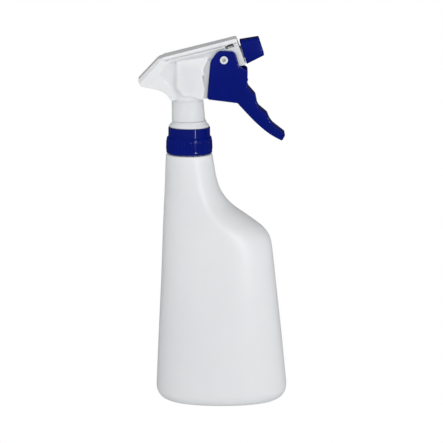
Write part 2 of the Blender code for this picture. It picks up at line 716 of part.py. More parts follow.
def make_shroud():
    shroud = extruded("shroud", web_outline(), WEB_HALF, WHITE)
    widened(shroud, WEB_HALF)
    cap = widened(extruded("cap", cap_outline(), WEB_HALF + CAP_OVERHANG), WEB_HALF + CAP_OVERHANG)
    bevel(cap, CAP_BEVEL, 1, math.radians(60))
    combine(shroud, cap, "UNION")
    combine(shroud, bulge("bulge"), "UNION")
    skirt = cylinder("skirt", SKIRT_R, SLEEVE_Z + SEAT_GAP, BULGE_BOTTOM_Z + 3 * CUT)
    skirt.location.x = -SKIRT_OFFSET
    combine(shroud, skirt, "UNION")
    # The hollow inside: the web's, the bulge's, then the round skirt's.
    hollow = extruded("web_hollow", web_outline(SHROUD_WALL, 6.0 * MM), WEB_HALF - SHROUD_WALL)
    combine(shroud, widened(hollow, WEB_HALF - SHROUD_WALL), "DIFFERENCE")
    combine(shroud, bulge("bulge_hollow", SHROUD_WALL, 4 * CUT, CUT), "DIFFERENCE")
    bore = cylinder("skirt_bore", SLEEVE_R + SEAT_GAP, SLEEVE_Z - CUT, BULGE_BOTTOM_Z + CUT)
    combine(shroud, bore, "DIFFERENCE")
    reach = BULGE_HALF + CUT
    slit = block("skirt_slit", (SLIT_X, -reach, SLEEVE_Z - CUT), (SLIT_X + reach, reach, BULGE_BOTTOM_Z + CUT))
    combine(shroud, slit, "DIFFERENCE")
    combine(shroud, in_head_frame(snap_lug("windows", BULGE_HALF, RUN_GAP)), "DIFFERENCE")
    mouth = cylinder("barrel_mouth", BARREL_R + RUN_GAP, SPINNER_U - 4 * CUT, 4 * CUT, sides=24)
    combine(shroud, along_spray(mouth), "DIFFERENCE")
    arch_r = PIVOT_R + PIVOT_WALL + RUN_GAP
    arch = cylinder("boss_arch", arch_r, -reach, reach, sides=24)
    combine(shroud, across(arch, PIVOT_U, PIVOT_V), "DIFFERENCE")
    gate_low = PIVOT_V - 3 * arch_r
    gate = block("boss_gate", (PIVOT_U - arch_r, -reach, gate_low), (PIVOT_U + arch_r, reach, PIVOT_V))
    combine(shroud, in_head_frame(gate), "DIFFERENCE")
    return shroud


# ---------------------------------------------------------------- trigger
def finger_side(inset=0.0):
    """The lever's front from its top ledge down to the tip, with its finger grooves, moved in by the inset."""
    corners = [
        (43.0, 47.0, 1.5), (42.7, 34.6, 6.0), (48.8, 27.8, 2.5), (50.4, 19.8, 6.0), (57.4, 14.0, 2.5),
        (60.0, 7.6, 12.0), (71.0, -0.8, 1.8),
    ]
    return [(x * MM - inset, RIM_Z + z * MM, radius * MM) for x, z, radius in corners]


def trigger_outline():
    """The lever's side outline: the lobe round the pivot, the front, the tip and the back edge."""
    lobe = [(15.7, 53.7, 7.0), (21.2, 61.6, 5.0), (33.6, 61.2, 4.0), (36.9, 49.7, 1.0)]
    back = [(68.3, -5.6, 1.0), (58.0, 0.2, 60.0), (47.5, 9.8, 60.0), (35.4, 22.9, 0.0), (13.2, 25.7, 2.0)]
    placed = [[(x * MM, RIM_Z + z * MM, radius * MM) for x, z, radius in side] for side in (lobe, back)]
    return rounded(placed[0] + finger_side() + placed[1])


def trigger_hollow_outline():
    """What the front wall leaves open between the two plates: all behind it, and all above its ledge."""
    front = finger_side(TRIGGER_FRONT)
    ledge = front[0][1] - 0.6 * MM
    tip_x, tip_z, _ = front.pop()
    top, far, back = RIM_Z + 77.4 * MM, 60.0 * MM, 0.0
    return rounded(
        [
            (back, top), (far, top), (far, ledge), (front[0][0], ledge), *front[1:], (tip_x - CUT, tip_z - CUT),
            (tip_x - 4 * CUT, tip_z - 10 * CUT), (back, tip_z - 10 * CUT),
        ]
    )


def narrowed(piece, half):
    """The prism with its sides drawn together in front of the lever's waist, towards the tip."""
    bm = bmesh.new()
    bm.from_mesh(piece.data)
    bmesh.ops.bisect_plane(
        bm, geom=list(bm.verts) + list(bm.edges) + list(bm.faces), plane_co=(TRIGGER_WAIST_X, 0.0, 0.0),
        plane_no=(1.0, 0.0, 0.0),
    )
    for point in bm.verts:
        ahead = max(point.co.x - TRIGGER_WAIST_X, 0.0)
        point.co.y = math.copysign(half - ahead * TRIGGER_TAPER, point.co.y)
    bm.to_mesh(piece.data)
    bm.free()
    return piece


def make_trigger():
    """The lever, with its origin on its pivot."""
    pivot = head_point(PIVOT_U, PIVOT_V)
    trigger = narrowed(extruded("trigger", trigger_outline(), TRIGGER_HALF, BLUE), TRIGGER_HALF)
    trigger.data.transform(Matrix.Translation(-pivot))
    trigger.location = pivot
    bevel(trigger, TRIGGER_RIM, 1, math.radians(60))
    hollow = narrowed(extruded("trigger_hollow", trigger_hollow_outline(), PLATE_INNER), PLATE_INNER)
    combine(trigger, hollow, "DIFFERENCE")
    hole = cylinder("pivot_hole", PIVOT_R + PIVOT_GAP, -TRIGGER_HALF - CUT, TRIGGER_HALF + CUT, sides=32)
    combine(trigger, across(hole, PIVOT_U, PIVOT_V), "DIFFERENCE")
    pusher = block(
        "pusher", (PISTON_NOSE_U + RUN_GAP, -PUSHER_HALF, -PUMP_DROP - 4.5 * MM),
        (PISTON_NOSE_U + PUSHER_LENGTH, PUSHER_HALF, -PUMP_DROP + 3.5 * MM),
    )
    combine(trigger, in_head_frame(pusher), "UNION")
    return trigger


# ---------------------------------------------------------------- piston, seals and return spring
def make_piston():
    """The rod, its two discs and its nose, turned about the cylinder's axis. Heights are along the spray."""
    head, nose, rod = PISTON_HEAD_U, PISTON_NOSE_U, PISTON_ROD_R
    disc, end = DISC_R - 0.6 * MM, PISTON_HEAD_U + PISTON_LENGTH
    piston = turned(
        "piston",
        [
            (0.0, nose), (rod * 0.38, nose - 0.25 * MM), (rod * 0.7, nose - 0.85 * MM), (rod, nose - 2.2 * MM),
            (rod, end), (disc, end), (disc, end - LAND), (rod, end - LAND), (rod, head + 2.2 * MM),
            (disc, head + 2.2 * MM), (disc, head), (rod, head), (rod * 0.8, head - 3.0 * MM),
            (0.0, head - 3.0 * MM),
        ],
        WHITE, sides=24,
    )
    return along_spray(piston, 0.0, -PUMP_DROP)


def make_seal(name, low):
    """A lip seal on the rod that wipes the cylinder. Its lip leans out towards the lever."""
    thick, lip, top, bore = 1.4 * MM, 0.5 * MM, low + 2.6 * MM, PISTON_ROD_R + SEAT_GAP
    seal = turned(
        name,
        [
            (DISC_R, top), (DISC_R - lip, low + thick - 0.2 * MM), (DISC_R - lip, low), (bore, low),
            (bore, low + thick), (DISC_R - lip - 1.1 * MM, low + thick), (DISC_R - 1.1 * MM, top),
        ],
        CLEAR, sides=24,
    )
    return along_spray(seal, 0.0, -PUMP_DROP)


def make_spring(name, radius, wire, low, high, turns):
    """A coil spring about its own Z with closed ends, its wire's centre at the given radius."""
    steps = 12
    curve = bpy.data.curves.new(name, "CURVE")
    curve.dimensions = "3D"
    curve.bevel_depth = wire / 2
    curve.bevel_resolution = 1
    curve.use_fill_caps = True
    spline = curve.splines.new("POLY")
    count = round(turns * steps)
    spline.points.add(count)
    closed = 0.75  # turns at each end whose coils nearly touch
    coil = wire * 1.15
    span = (high - low) - wire - 2 * closed * coil
    for k, point in enumerate(spline.points):
        turn = k / steps
        share = min(max((turn - closed) / (turns - 2 * closed), 0.0), 1.0)
        end_rise = coil * (min(turn, closed) + max(turn - turns + closed, 0.0))
        z = low + wire / 2 + end_rise + span * share
        angle = 2 * math.pi * turn
        point.co = (radius * math.cos(angle), radius * math.sin(angle), z, 1.0)
    return link(name, curve, STEEL)


# ---------------------------------------------------------------- inlet valve and dip tube
def make_valve_seat():
    """The insert under the ball: a seat on top and a socket for the dip tube below."""
    outer = INTAKE_BORE_R - SEAT_GAP
    foot = INTAKE_Z - 1.5 * MM
    return turned(
        "valve_seat",
        [
            (outer, SEAT_TOP_Z + 1.0 * MM), (outer, INTAKE_Z), (outer + 1.6 * MM, INTAKE_Z - SEAT_GAP),
            (outer + 1.6 * MM, foot), (TUBE_R + SEAT_GAP, foot), (TUBE_R + SEAT_GAP, TUBE_SOCKET_Z),
            (CHANNEL_R - 0.1 * MM, TUBE_SOCKET_Z), (CHANNEL_R - 0.1 * MM, SEAT_TOP_Z - 1.0 * MM),
            (BALL_R + 0.5 * MM, SEAT_TOP_Z + 1.0 * MM),
        ],
        CLEAR, sides=32,
    )


def make_ball():
    """The inlet ball, just above its cone."""
    bm = bmesh.new()
    bmesh.ops.create_uvsphere(bm, u_segments=16, v_segments=10, radius=BALL_R)
    mesh = bpy.data.meshes.new("inlet_ball")
    bm.to_mesh(mesh)
    bm.free()
    ball = link("inlet_ball", mesh, STEEL)
    ball.location.z = SEAT_TOP_Z + BALL_R - 0.3 * MM + SEAT_GAP
    return ball


def make_dip_tube():
    top = TUBE_SOCKET_Z - SEAT_GAP
    return turned(
        "dip_tube",
        [(TUBE_R, top), (TUBE_R, TUBE_END_Z), (TUBE_BORE_R, TUBE_END_Z), (TUBE_BORE_R, top)],
        CLEAR, sides=20,
    )


def make_strainer():
    """The filter cup pushed on the tube's lower end, with a ring of slots."""
    top = TUBE_END_Z + 4.0 * MM
    bottom = top - STRAINER_LENGTH
    outer, inner = TUBE_R + 1.1 * MM, TUBE_R - 0.3 * MM
    strainer = turned(
        "tube_strainer",
        [
            (outer, top), (outer, bottom + 0.8 * MM), (outer - 0.8 * MM, bottom), (0.0, bottom),
            (0.0, bottom + 1.0 * MM), (inner, bottom + 1.0 * MM), (inner, TUBE_END_Z - SEAT_GAP),
            (TUBE_R + SEAT_GAP, TUBE_END_Z - SEAT_GAP), (TUBE_R + SEAT_GAP, top),
        ],
        CLEAR, sides=24,
    )
    reach, half, low, high = outer + CUT, 0.4 * MM, bottom + 1.4 * MM, TUBE_END_Z - 1.2 * MM
    for k in range(3):
        slot = block(f"strainer_slot_{k}", (-reach, -half, low), (reach, half, high))
        slot.rotation_euler.z = math.pi * k / 3
        combine(strainer, slot, "DIFFERENCE")
    return strainer


# ---------------------------------------------------------------- outlet valve, spinner and nozzle
def make_outlet_valve():
    """The disc that closes the barrel's bore between strokes."""
    low = OUTLET_SEAT_U
    valve = turned(
        "outlet_valve",
        [
            (0.0, low + OUTLET_VALVE_H), (OUTLET_PIN_R, low + OUTLET_VALVE_H), (OUTLET_PIN_R, low + 1.0 * MM),
            (SPINNER_R - 0.5 * MM, low + 1.0 * MM), (SPINNER_R - 0.5 * MM, low), (0.0, low),
        ],
        RUBBER, sides=24,
    )
    return along_spray(valve)


def make_spinner():
    """The swirl insert: a plug with tangential grooves in its front face."""
    front = BARREL_FRONT_U + 1.0 * MM
    back = SPINNER_BACK_U + SEAT_GAP
    spinner = turned(
        "spinner",
        [
            (0.0, front), (SPINNER_R - 0.8 * MM, front), (SPINNER_R - 0.3 * MM, front - 0.5 * MM),
            (SPINNER_R - 0.3 * MM, BARREL_FRONT_U - 0.5 * MM), (SPINNER_R, BARREL_FRONT_U - 1.0 * MM),
            (SPINNER_R, back), (0.0, back),
        ],
        WHITE, sides=24,
    )
    for k in range(4):
        flute = block(
            f"flute_{k}", (SPINNER_R - FLUTE, -FLUTE / 2, back - CUT), (SPINNER_R + CUT, FLUTE / 2, front + CUT)
        )
        flute.rotation_mode = "QUATERNION"
        base = Matrix.Rotation(math.pi / 2 - HEAD_TILT, 4, "Y") @ Matrix.Rotation(math.pi / 2 * k, 4, "Z")
        flute.rotation_quaternion = base.to_quaternion()
        flute.location = NOZZLE_BACK
        combine(spinner, flute, "DIFFERENCE")
    return along_spray(spinner)


def make_nozzle_seal():
    """The ring between the barrel's end and the bottom of the nozzle's socket."""
    low, high = BARREL_FRONT_U + SEAT_GAP, BARREL_FRONT_U + 1.0 * MM
    bore = SPINNER_R + SEAT_GAP
    seal = turned(
        "nozzle_seal", [(BARREL_R - 0.1 * MM, high), (BARREL_R - 0.1 * MM, low), (bore, low), (bore, high)],
        RUBBER, sides=24,
    )
    return along_spray(seal)


def make_nozzle():
    """The square cap: four tapered sides, a socket for the barrel and the spray hole in front."""
    bm = bmesh.new()
    back_r, front_r = (side / math.sqrt(2) for side in (NOZZLE_BACK_SIDE, NOZZLE_FRONT_SIDE))
    bmesh.ops.create_cone(
        bm, cap_ends=True, segments=4, radius1=back_r, radius2=front_r, depth=NOZZLE_LENGTH,
        matrix=Matrix.Translation((0.0, 0.0, NOZZLE_LENGTH / 2)) @ Matrix.Rotation(math.pi / 4, 4, "Z"),
    )
    sides = [edge for edge in bm.edges if abs(edge.verts[0].co.z - edge.verts[1].co.z) > NOZZLE_LENGTH / 2]
    bmesh.ops.bevel(bm, geom=sides, offset=NOZZLE_CORNER, segments=3, profile=0.5, affect="EDGES", material=-1)
    rim = [edge for edge in bm.edges if min(point.co.z for point in edge.verts) > NOZZLE_LENGTH - MM]
    bmesh.ops.bevel(bm, geom=rim, offset=NOZZLE_EDGE, segments=1, profile=0.5, affect="EDGES", material=-1)
    mesh = bpy.data.meshes.new("nozzle_cap")
    bm.to_mesh(mesh)
    bm.free()
    nozzle = link("nozzle_cap", mesh, BLUE)
    wide = cylinder("nozzle_skirt_bore", NOZZLE_BACK_SIDE / 2 - 1.6 * MM, -CUT, 5.0 * MM, sides=32)
    combine(nozzle, along_spray(wide), "DIFFERENCE")
    socket = cylinder("nozzle_socket", BARREL_R + RUN_GAP, 0.0, BARREL_FRONT_U + 1.0 * MM + RUN_GAP, sides=32)
    combine(nozzle, along_spray(socket), "DIFFERENCE")
    groove = cylinder(
        "bead_groove", BARREL_R + BEAD + RUN_GAP, BEAD_U - RUN_GAP, BEAD_U + BEAD_LENGTH + RUN_GAP, sides=32
    )
    combine(nozzle, along_spray(groove), "DIFFERENCE")
    hole = cylinder("orifice", ORIFICE_R, BARREL_FRONT_U, NOZZLE_LENGTH + CUT, sides=12)
    combine(nozzle, along_spray(hole), "DIFFERENCE")
    dish = cylinder("orifice_dish", 2.6 * MM, NOZZLE_LENGTH - 1.0 * MM, NOZZLE_LENGTH + CUT, sides=24)
    combine(nozzle, along_spray(dish), "DIFFERENCE")
    return along_spray(nozzle)


# ---------------------------------------------------------------- assembly
make_bottle()
make_collar()
make_gasket()
make_pump_body()
make_shroud()
make_trigger()
make_piston()
make_seal("pressure_seal", PISTON_HEAD_U + 2.2 * MM + SEAT_GAP)
make_seal("vent_seal", PISTON_HEAD_U + 7.2 * MM + SEAT_GAP)
along_spray(
    make_spring(
        "return_spring", CYLINDER_BORE_R - 1.8 * MM, SPRING_WIRE, CYLINDER_FLOOR_U + SEAT_GAP,
        PISTON_HEAD_U - SEAT_GAP, SPRING_TURNS,
    ),
    0.0, -PUMP_DROP,
)
make_valve_seat()
make_ball()
make_dip_tube()
make_strainer()
make_outlet_valve()
along_spray(
    make_spring(
        "outlet_spring", OUTLET_PIN_R + 1.0 * MM, SPRING_WIRE / 2, OUTLET_SEAT_U + 1.0 * MM + SEAT_GAP,
        SPINNER_BACK_U, 4,
    )
)
make_spinner()
make_nozzle_seal()
make_nozzle()

# The origin is the middle of the footprint, so everything moves back by the middle of its extent along X.
bpy.context.view_layer.update()
graph = bpy.context.evaluated_depsgraph_get()
reach = []
for piece in parts.objects:
    if piece is not frame:
        solid = piece.evaluated_get(graph)
        reach += [(solid.matrix_world @ point.co).x for point in solid.to_mesh().vertices]
frame.location.x = -(min(reach) + max(reach)) / 2
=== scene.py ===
# %% [markdown]
# # A trigger spray bottle
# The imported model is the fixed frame: every piece below takes its place from it, and rides on one of its
# bodies. The plain solids that carry the design are swapped for finely shaped pieces with real finishes.
#
# Everything is in metres, +Z is up and the nozzle sprays towards +X. On the real object the neck stands over
# the back of the base, so most places are easiest to give from the neck's axis, or from the tilted frame of
# the pump. Both come from the joints.

# %% The frame, and the places that everything else is measured from
import json
import math

import bmesh
import bpy
from mathutils import Matrix, Vector


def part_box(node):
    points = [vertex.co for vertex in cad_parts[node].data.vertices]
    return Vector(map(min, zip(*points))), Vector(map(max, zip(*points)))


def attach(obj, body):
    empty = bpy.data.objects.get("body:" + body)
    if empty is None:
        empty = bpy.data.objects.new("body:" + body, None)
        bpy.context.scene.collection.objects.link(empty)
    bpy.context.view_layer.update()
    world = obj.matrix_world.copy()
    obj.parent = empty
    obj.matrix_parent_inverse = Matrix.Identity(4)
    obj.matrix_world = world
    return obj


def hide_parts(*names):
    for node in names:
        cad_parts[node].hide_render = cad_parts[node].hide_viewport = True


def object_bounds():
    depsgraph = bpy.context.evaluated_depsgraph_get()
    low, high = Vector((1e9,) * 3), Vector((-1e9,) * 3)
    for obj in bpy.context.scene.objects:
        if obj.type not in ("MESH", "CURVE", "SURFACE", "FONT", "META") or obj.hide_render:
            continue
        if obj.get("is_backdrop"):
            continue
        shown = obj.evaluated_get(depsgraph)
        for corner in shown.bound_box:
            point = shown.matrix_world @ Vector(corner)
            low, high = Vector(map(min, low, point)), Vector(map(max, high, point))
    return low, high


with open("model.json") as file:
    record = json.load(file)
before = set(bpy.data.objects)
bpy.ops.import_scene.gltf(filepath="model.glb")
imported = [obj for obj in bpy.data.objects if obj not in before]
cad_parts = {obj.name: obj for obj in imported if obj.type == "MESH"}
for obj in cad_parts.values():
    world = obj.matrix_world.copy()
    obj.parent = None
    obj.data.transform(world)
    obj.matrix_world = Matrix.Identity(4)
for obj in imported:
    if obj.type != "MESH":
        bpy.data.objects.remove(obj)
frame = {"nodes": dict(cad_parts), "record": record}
cad_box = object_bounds()

MM = 0.001
joints = {joint["name"]: joint for joint in frame["record"]["behaviour"]["joints"]}
NECK_X = joints["collar_turn"]["pos_m"][0]
PIVOT = Vector(joints["trigger_squeeze"]["pos_m"])
NOZZLE_BACK = Vector(joints["nozzle_turn"]["pos_m"])
SPRAY = Vector(joints["nozzle_turn"]["axis"])
LIFT = Vector((-SPRAY.z, 0.0, SPRAY.x))
TILT = math.atan2(SPRAY.z, SPRAY.x)
PUMP_DROP = 17.0 * MM
print("neck at x =", round(NECK_X, 4), "pivot at", [round(c, 4) for c in PIVOT])

# %% [markdown]
# ## Small tools
# A finished piece keeps its object at the origin, so its mesh is made where it belongs. `make_object` turns a
# bmesh into an object and `combine` joins or cuts it with others. `finish_piece` then gives it its material,
# shades it smooth up to a crease angle and lets it ride on a body.


# %% Making a piece
def mesh_of(bm, name):
    """The bmesh as a mesh data block, with its faces turned outwards."""
    bmesh.ops.recalc_face_normals(bm, faces=bm.faces)
    mesh = bpy.data.meshes.new(name)
    bm.to_mesh(mesh)
    bm.free()
    return mesh


def make_object(bm, name):
    made = bpy.data.objects.new(name, mesh_of(bm, name))
    bpy.context.scene.collection.objects.link(made)
    return made


def bake_modifiers(piece):
    """Applies every modifier of a piece."""
    graph = bpy.context.evaluated_depsgraph_get()
    baked = bpy.data.meshes.new_from_object(piece.evaluated_get(graph))
    piece.modifiers.clear()
    piece.data = baked
    return piece


def shade(piece, degrees=35.0):
    piece.data.shade_smooth()
    piece.data.set_sharp_from_angle(angle=math.radians(degrees))


def combine(piece, tools, operation):
    """Joins the tools to a piece, or cuts them away, one after another, and removes them."""
    for tool in tools:
        step = piece.modifiers.new("combine", "BOOLEAN")
        step.operation = operation
        step.object = tool
    bake_modifiers(piece)
    for tool in tools:
        bpy.data.objects.remove(tool)
    return piece


def finish_piece(piece, body, finish, stands_for, degrees=35.0):
    """Gives a piece its finish and its body, and hides the plain solids that it stands for."""
    piece.data.materials.clear()
    piece.data.materials.append(finish)
    shade(piece, degrees)
    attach(piece, body)
    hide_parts(*stands_for)
    print(piece.name, len(piece.data.polygons), "faces on", body)


SLOTS = {part["node"]: part["material_slot"] for part in frame["record"]["subparts"]}
print(len(SLOTS), "plain solids have a material slot")


# %% [markdown]
# A flat outline starts as one face with few corners. Bevelling a single corner of a flat face, with
# `affect="VERTICES"`, cuts it with an arc, so each corner only needs its place and how far the arc starts from
# it. The face is then extruded across the object, and the two rims are bevelled as a mould would round them.


# %% Prisms from a side outline
def neck_mm(x, z):
    """A point of the mid-plane, from millimetres off the neck's axis and above the ground."""
    return Vector((NECK_X + x * MM, 0.0, z * MM))


def pump_mm(u, v):
    """A point of the mid-plane in the pump's frame: u along the spray, v across it, from the nozzle's back."""
    return NOZZLE_BACK + SPRAY * (u * MM) + LIFT * (v * MM)


def setback(corners, i):
    """How far from a corner its arc starts along both sides, for the corner's radius."""
    here = Vector(corners[i][:2])
    before = Vector(corners[i - 1][:2]) - here
    after = Vector(corners[(i + 1) % len(corners)][:2]) - here
    wanted = corners[i][2] / math.tan(before.angle(after) / 2)
    return min(wanted, 0.49 * before.length, 0.49 * after.length) * MM


def prism(name, corners, half, rim=0.0, place=neck_mm, taper=0.0, segments=6, rim_segments=3):
    """A solid from the side outline's corners (x, z) or (x, z, radius) in millimetres, half wide each way."""
    bm = bmesh.new()
    points = [bm.verts.new(place(*corner[:2])) for corner in corners]
    bm.faces.new(points)
    for i, point in enumerate(points):
        if len(corners[i]) > 2:
            bmesh.ops.bevel(
                bm, geom=[point], offset=setback(corners, i), segments=segments, profile=0.5,
                affect="VERTICES", material=-1,
            )
    swept = bmesh.ops.extrude_face_region(bm, geom=list(bm.faces))["geom"]
    moved = {item for item in swept if isinstance(item, bmesh.types.BMVert)}
    front_x = max(point.co.x for point in bm.verts)
    for point in bm.verts:
        reach = half * MM + (front_x - point.co.x) * taper
        point.co.y = reach if point in moved else -reach
    if rim:
        rims = [edge for edge in bm.edges if edge.verts[0].co.y * edge.verts[1].co.y > 0]
        bmesh.ops.bevel(
            bm, geom=rims, offset=rim * MM, segments=rim_segments, profile=0.5, affect="EDGES", material=-1,
            clamp_overlap=True,
        )
    return make_object(bm, name)


print("the pump tilts by", round(math.degrees(TILT), 1), "degrees")


# %% [markdown]
# Round pieces are a profile spun about an axis. The profile is a closed loop of a few points, so the result is
# a closed solid, and `use_merge` joins the last step of a full turn to the first.


# %% Turned pieces
def turned(name, profile, steps=96, place=None):
    """A solid spun about Z from a closed profile of (radius, height) in millimetres, then put in its place."""
    bm = bmesh.new()
    points = [bm.verts.new((radius * MM, 0.0, height * MM)) for radius, height in profile]
    edges = [bm.edges.new((a, b)) for a, b in zip(points, points[1:] + points[:1])]
    bmesh.ops.spin(
        bm, geom=points + edges, cent=(0, 0, 0), axis=(0, 0, 1), angle=2 * math.pi, steps=steps, use_merge=True
    )
    bmesh.ops.remove_doubles(bm, verts=bm.verts, dist=1e-6)
    bmesh.ops.dissolve_degenerate(bm, edges=bm.edges, dist=1e-7)
    if place is not None:
        bmesh.ops.transform(bm, matrix=place, verts=bm.verts)
    return make_object(bm, name)


def rod(name, radius, low, high, place=Matrix(), steps=64):
    """A plain round bar about Z, or its cutter. Sizes are in millimetres."""
    bm = bmesh.new()
    bmesh.ops.create_cone(
        bm, cap_ends=True, segments=steps, radius1=radius * MM, radius2=radius * MM, depth=(high - low) * MM,
        matrix=place @ Matrix.Translation((0, 0, (low + high) / 2 * MM)),
    )
    return make_object(bm, name)


def box(name, low, high, place=Matrix(), rim=0.0):
    """A box between two corners in millimetres, with its edges rounded by the rim."""
    bm = bmesh.new()
    size = (Vector(high) - Vector(low)) * MM
    middle = (Vector(high) + Vector(low)) / 2 * MM
    scaled = Matrix.Translation(middle) @ Matrix.Diagonal((*size, 1.0))
    bmesh.ops.create_cube(bm, size=1.0, matrix=place @ scaled)
    if rim:
        bmesh.ops.bevel(
            bm, geom=list(bm.edges), offset=rim * MM, segments=3, profile=0.5, affect="EDGES", material=-1
        )
    return make_object(bm, name)


AT_NECK = Matrix.Translation((NECK_X, 0.0, 0.0))
ALONG_SPRAY = Matrix.Translation(NOZZLE_BACK) @ Matrix.Rotation(math.pi / 2 - TILT, 4, "Y")
IN_PUMP = Matrix.Translation(NOZZLE_BACK) @ Matrix.Rotation(-TILT, 4, "Y")
AT_CYLINDER = Matrix.Translation(LIFT * -PUMP_DROP) @ ALONG_SPRAY
ACROSS_PIVOT = Matrix.Translation(PIVOT) @ Matrix.Rotation(math.pi / 2, 4, "X")
print("the barrel starts at", [round(c, 4) for c in ALONG_SPRAY.translation])

# %% [markdown]
# ## The camera
# A long lens from a little above, square to the side of the bottle, as for a catalogue picture. It stands
# 1.78 m away, so the sides stay nearly parallel.

# %% Camera
LENS_MM, CAMERA_AWAY, CAMERA_HEIGHT = 198.8, 1.780, 0.504
scene = bpy.context.scene
camera_data = bpy.data.cameras.new("camera")
camera_data.sensor_width = 36.0
camera_data.lens = LENS_MM
camera_data.clip_start = 0.05
camera_data.clip_end = 50.0
camera = bpy.data.objects.new("camera", camera_data)
scene.collection.objects.link(camera)
look_at = Vector((NECK_X + 0.0238, 0.0, 0.135))
camera.location = (look_at.x, -CAMERA_AWAY, CAMERA_HEIGHT)
camera.rotation_euler = (look_at - camera.location).to_track_quat("-Z", "Y").to_euler()
scene.camera = camera
print("camera", [round(c, 3) for c in camera.location])

# %% [markdown]
# ## Finishes
# Three effects are shared, so each is a node group with named sockets that puts out plain values or colours:
#
# - `moulding_grain`: the very fine unevenness of a moulded skin, for Roughness and Bump.
# - `flow_mottle`: faint cloudiness where the melt flowed, which shifts a colour a little.
# - `handling_marks`: hairline scuffs, more of them on edges, which make a gloss slightly duller.


# %% Node group helpers
def new_group(name, inputs, outputs):
    """An empty shader group with its sockets made, and its input and output nodes."""
    group = bpy.data.node_groups.new(name, "ShaderNodeTree")
    for label, kind, value in inputs:
        socket = group.interface.new_socket(name=label, in_out="INPUT", socket_type=kind)
        socket.default_value = value
    for label, kind in outputs:
        group.interface.new_socket(name=label, in_out="OUTPUT", socket_type=kind)
    return group, group.nodes.new("NodeGroupInput"), group.nodes.new("NodeGroupOutput")


def math_node(tree, operation, *values):
    """A math node whose inputs are sockets or numbers."""
    node = tree.nodes.new("ShaderNodeMath")
    node.operation = operation
    for socket, value in zip(node.inputs, values):
        if isinstance(value, (int, float)):
            socket.default_value = value
        else:
            tree.links.new(value, socket)
    return node.outputs[0]


def noise_node(tree, vector, scale, detail=4.0, roughness=0.55, distortion=0.0):
    node = tree.nodes.new("ShaderNodeTexNoise")
    node.inputs["Detail"].default_value = detail
    node.inputs["Roughness"].default_value = roughness
    node.inputs["Distortion"].default_value = distortion
    tree.links.new(vector, node.inputs["Vector"])
    if isinstance(scale, (int, float)):
        node.inputs["Scale"].default_value = scale
    else:
        tree.links.new(scale, node.inputs["Scale"])
    return node.outputs["Fac"]


print("helpers for shader groups are ready")


# %% [markdown]
# A mould's steel leaves its own fine texture on plastic. Here two noises, one fine and one broad, make a height
# for the bump, and the broad one alone makes the roughness drift a little from place to place.

# %% Moulding grain
def build_moulding_grain():
    group, given, put = new_group(
        "moulding_grain",
        [("Vector", "NodeSocketVector", (0, 0, 0)), ("Scale", "NodeSocketFloat", 900.0),
         ("Roughness", "NodeSocketFloat", 0.3), ("Spread", "NodeSocketFloat", 0.06)],
        [("Roughness", "NodeSocketFloat"), ("Height", "NodeSocketFloat")],
    )
    fine = noise_node(group, given.outputs["Vector"], given.outputs["Scale"], 3.0, 0.6)
    broad_scale = math_node(group, "MULTIPLY", given.outputs["Scale"], 0.06)
    broad = noise_node(group, given.outputs["Vector"], broad_scale, 2.0, 0.5)
    centred = math_node(group, "SUBTRACT", broad, 0.5)
    shift = math_node(group, "MULTIPLY", centred, given.outputs["Spread"])
    group.links.new(math_node(group, "ADD", given.outputs["Roughness"], shift), put.inputs["Roughness"])
    waves = math_node(group, "MULTIPLY", broad, 1.6)
    group.links.new(math_node(group, "ADD", fine, waves), put.inputs["Height"])
    return group


MOULDING_GRAIN = build_moulding_grain()
print("made", MOULDING_GRAIN.name)


# %% [markdown]
# Melt cools unevenly as it flows, so a plain plastic is faintly cloudy. A soft noise is stretched to a mask
# from 0 to 1, which mixes the light and dark shades that each material gives.

# %% Flow mottle
def build_flow_mottle():
    group, given, put = new_group(
        "flow_mottle",
        [("Vector", "NodeSocketVector", (0, 0, 0)), ("Scale", "NodeSocketFloat", 40.0),
         ("Light", "NodeSocketColor", (1, 1, 1, 1)), ("Dark", "NodeSocketColor", (0.9, 0.9, 0.9, 1))],
        [("Color", "NodeSocketColor"), ("Mask", "NodeSocketFloat")],
    )
    cloud = noise_node(group, given.outputs["Vector"], given.outputs["Scale"], 3.0, 0.5, 0.6)
    span = group.nodes.new("ShaderNodeMapRange")
    span.inputs["From Min"].default_value = 0.32
    span.inputs["From Max"].default_value = 0.68
    group.links.new(cloud, span.inputs["Value"])
    mix = group.nodes.new("ShaderNodeMix")
    mix.data_type = "RGBA"
    group.links.new(span.outputs["Result"], mix.inputs["Factor"])
    group.links.new(given.outputs["Dark"], mix.inputs["A"])
    group.links.new(given.outputs["Light"], mix.inputs["B"])
    group.links.new(mix.outputs["Result"], put.inputs["Color"])
    group.links.new(span.outputs["Result"], put.inputs["Mask"])
    return group


FLOW_MOTTLE = build_flow_mottle()
print("made", FLOW_MOTTLE.name)


# %% [markdown]
# Hands and shelves leave hairlines, and wear edges first. A noise squeezed along one direction becomes long
# scuffs, and Pointiness finds the edges. The sum is a mask that a material adds to its roughness.

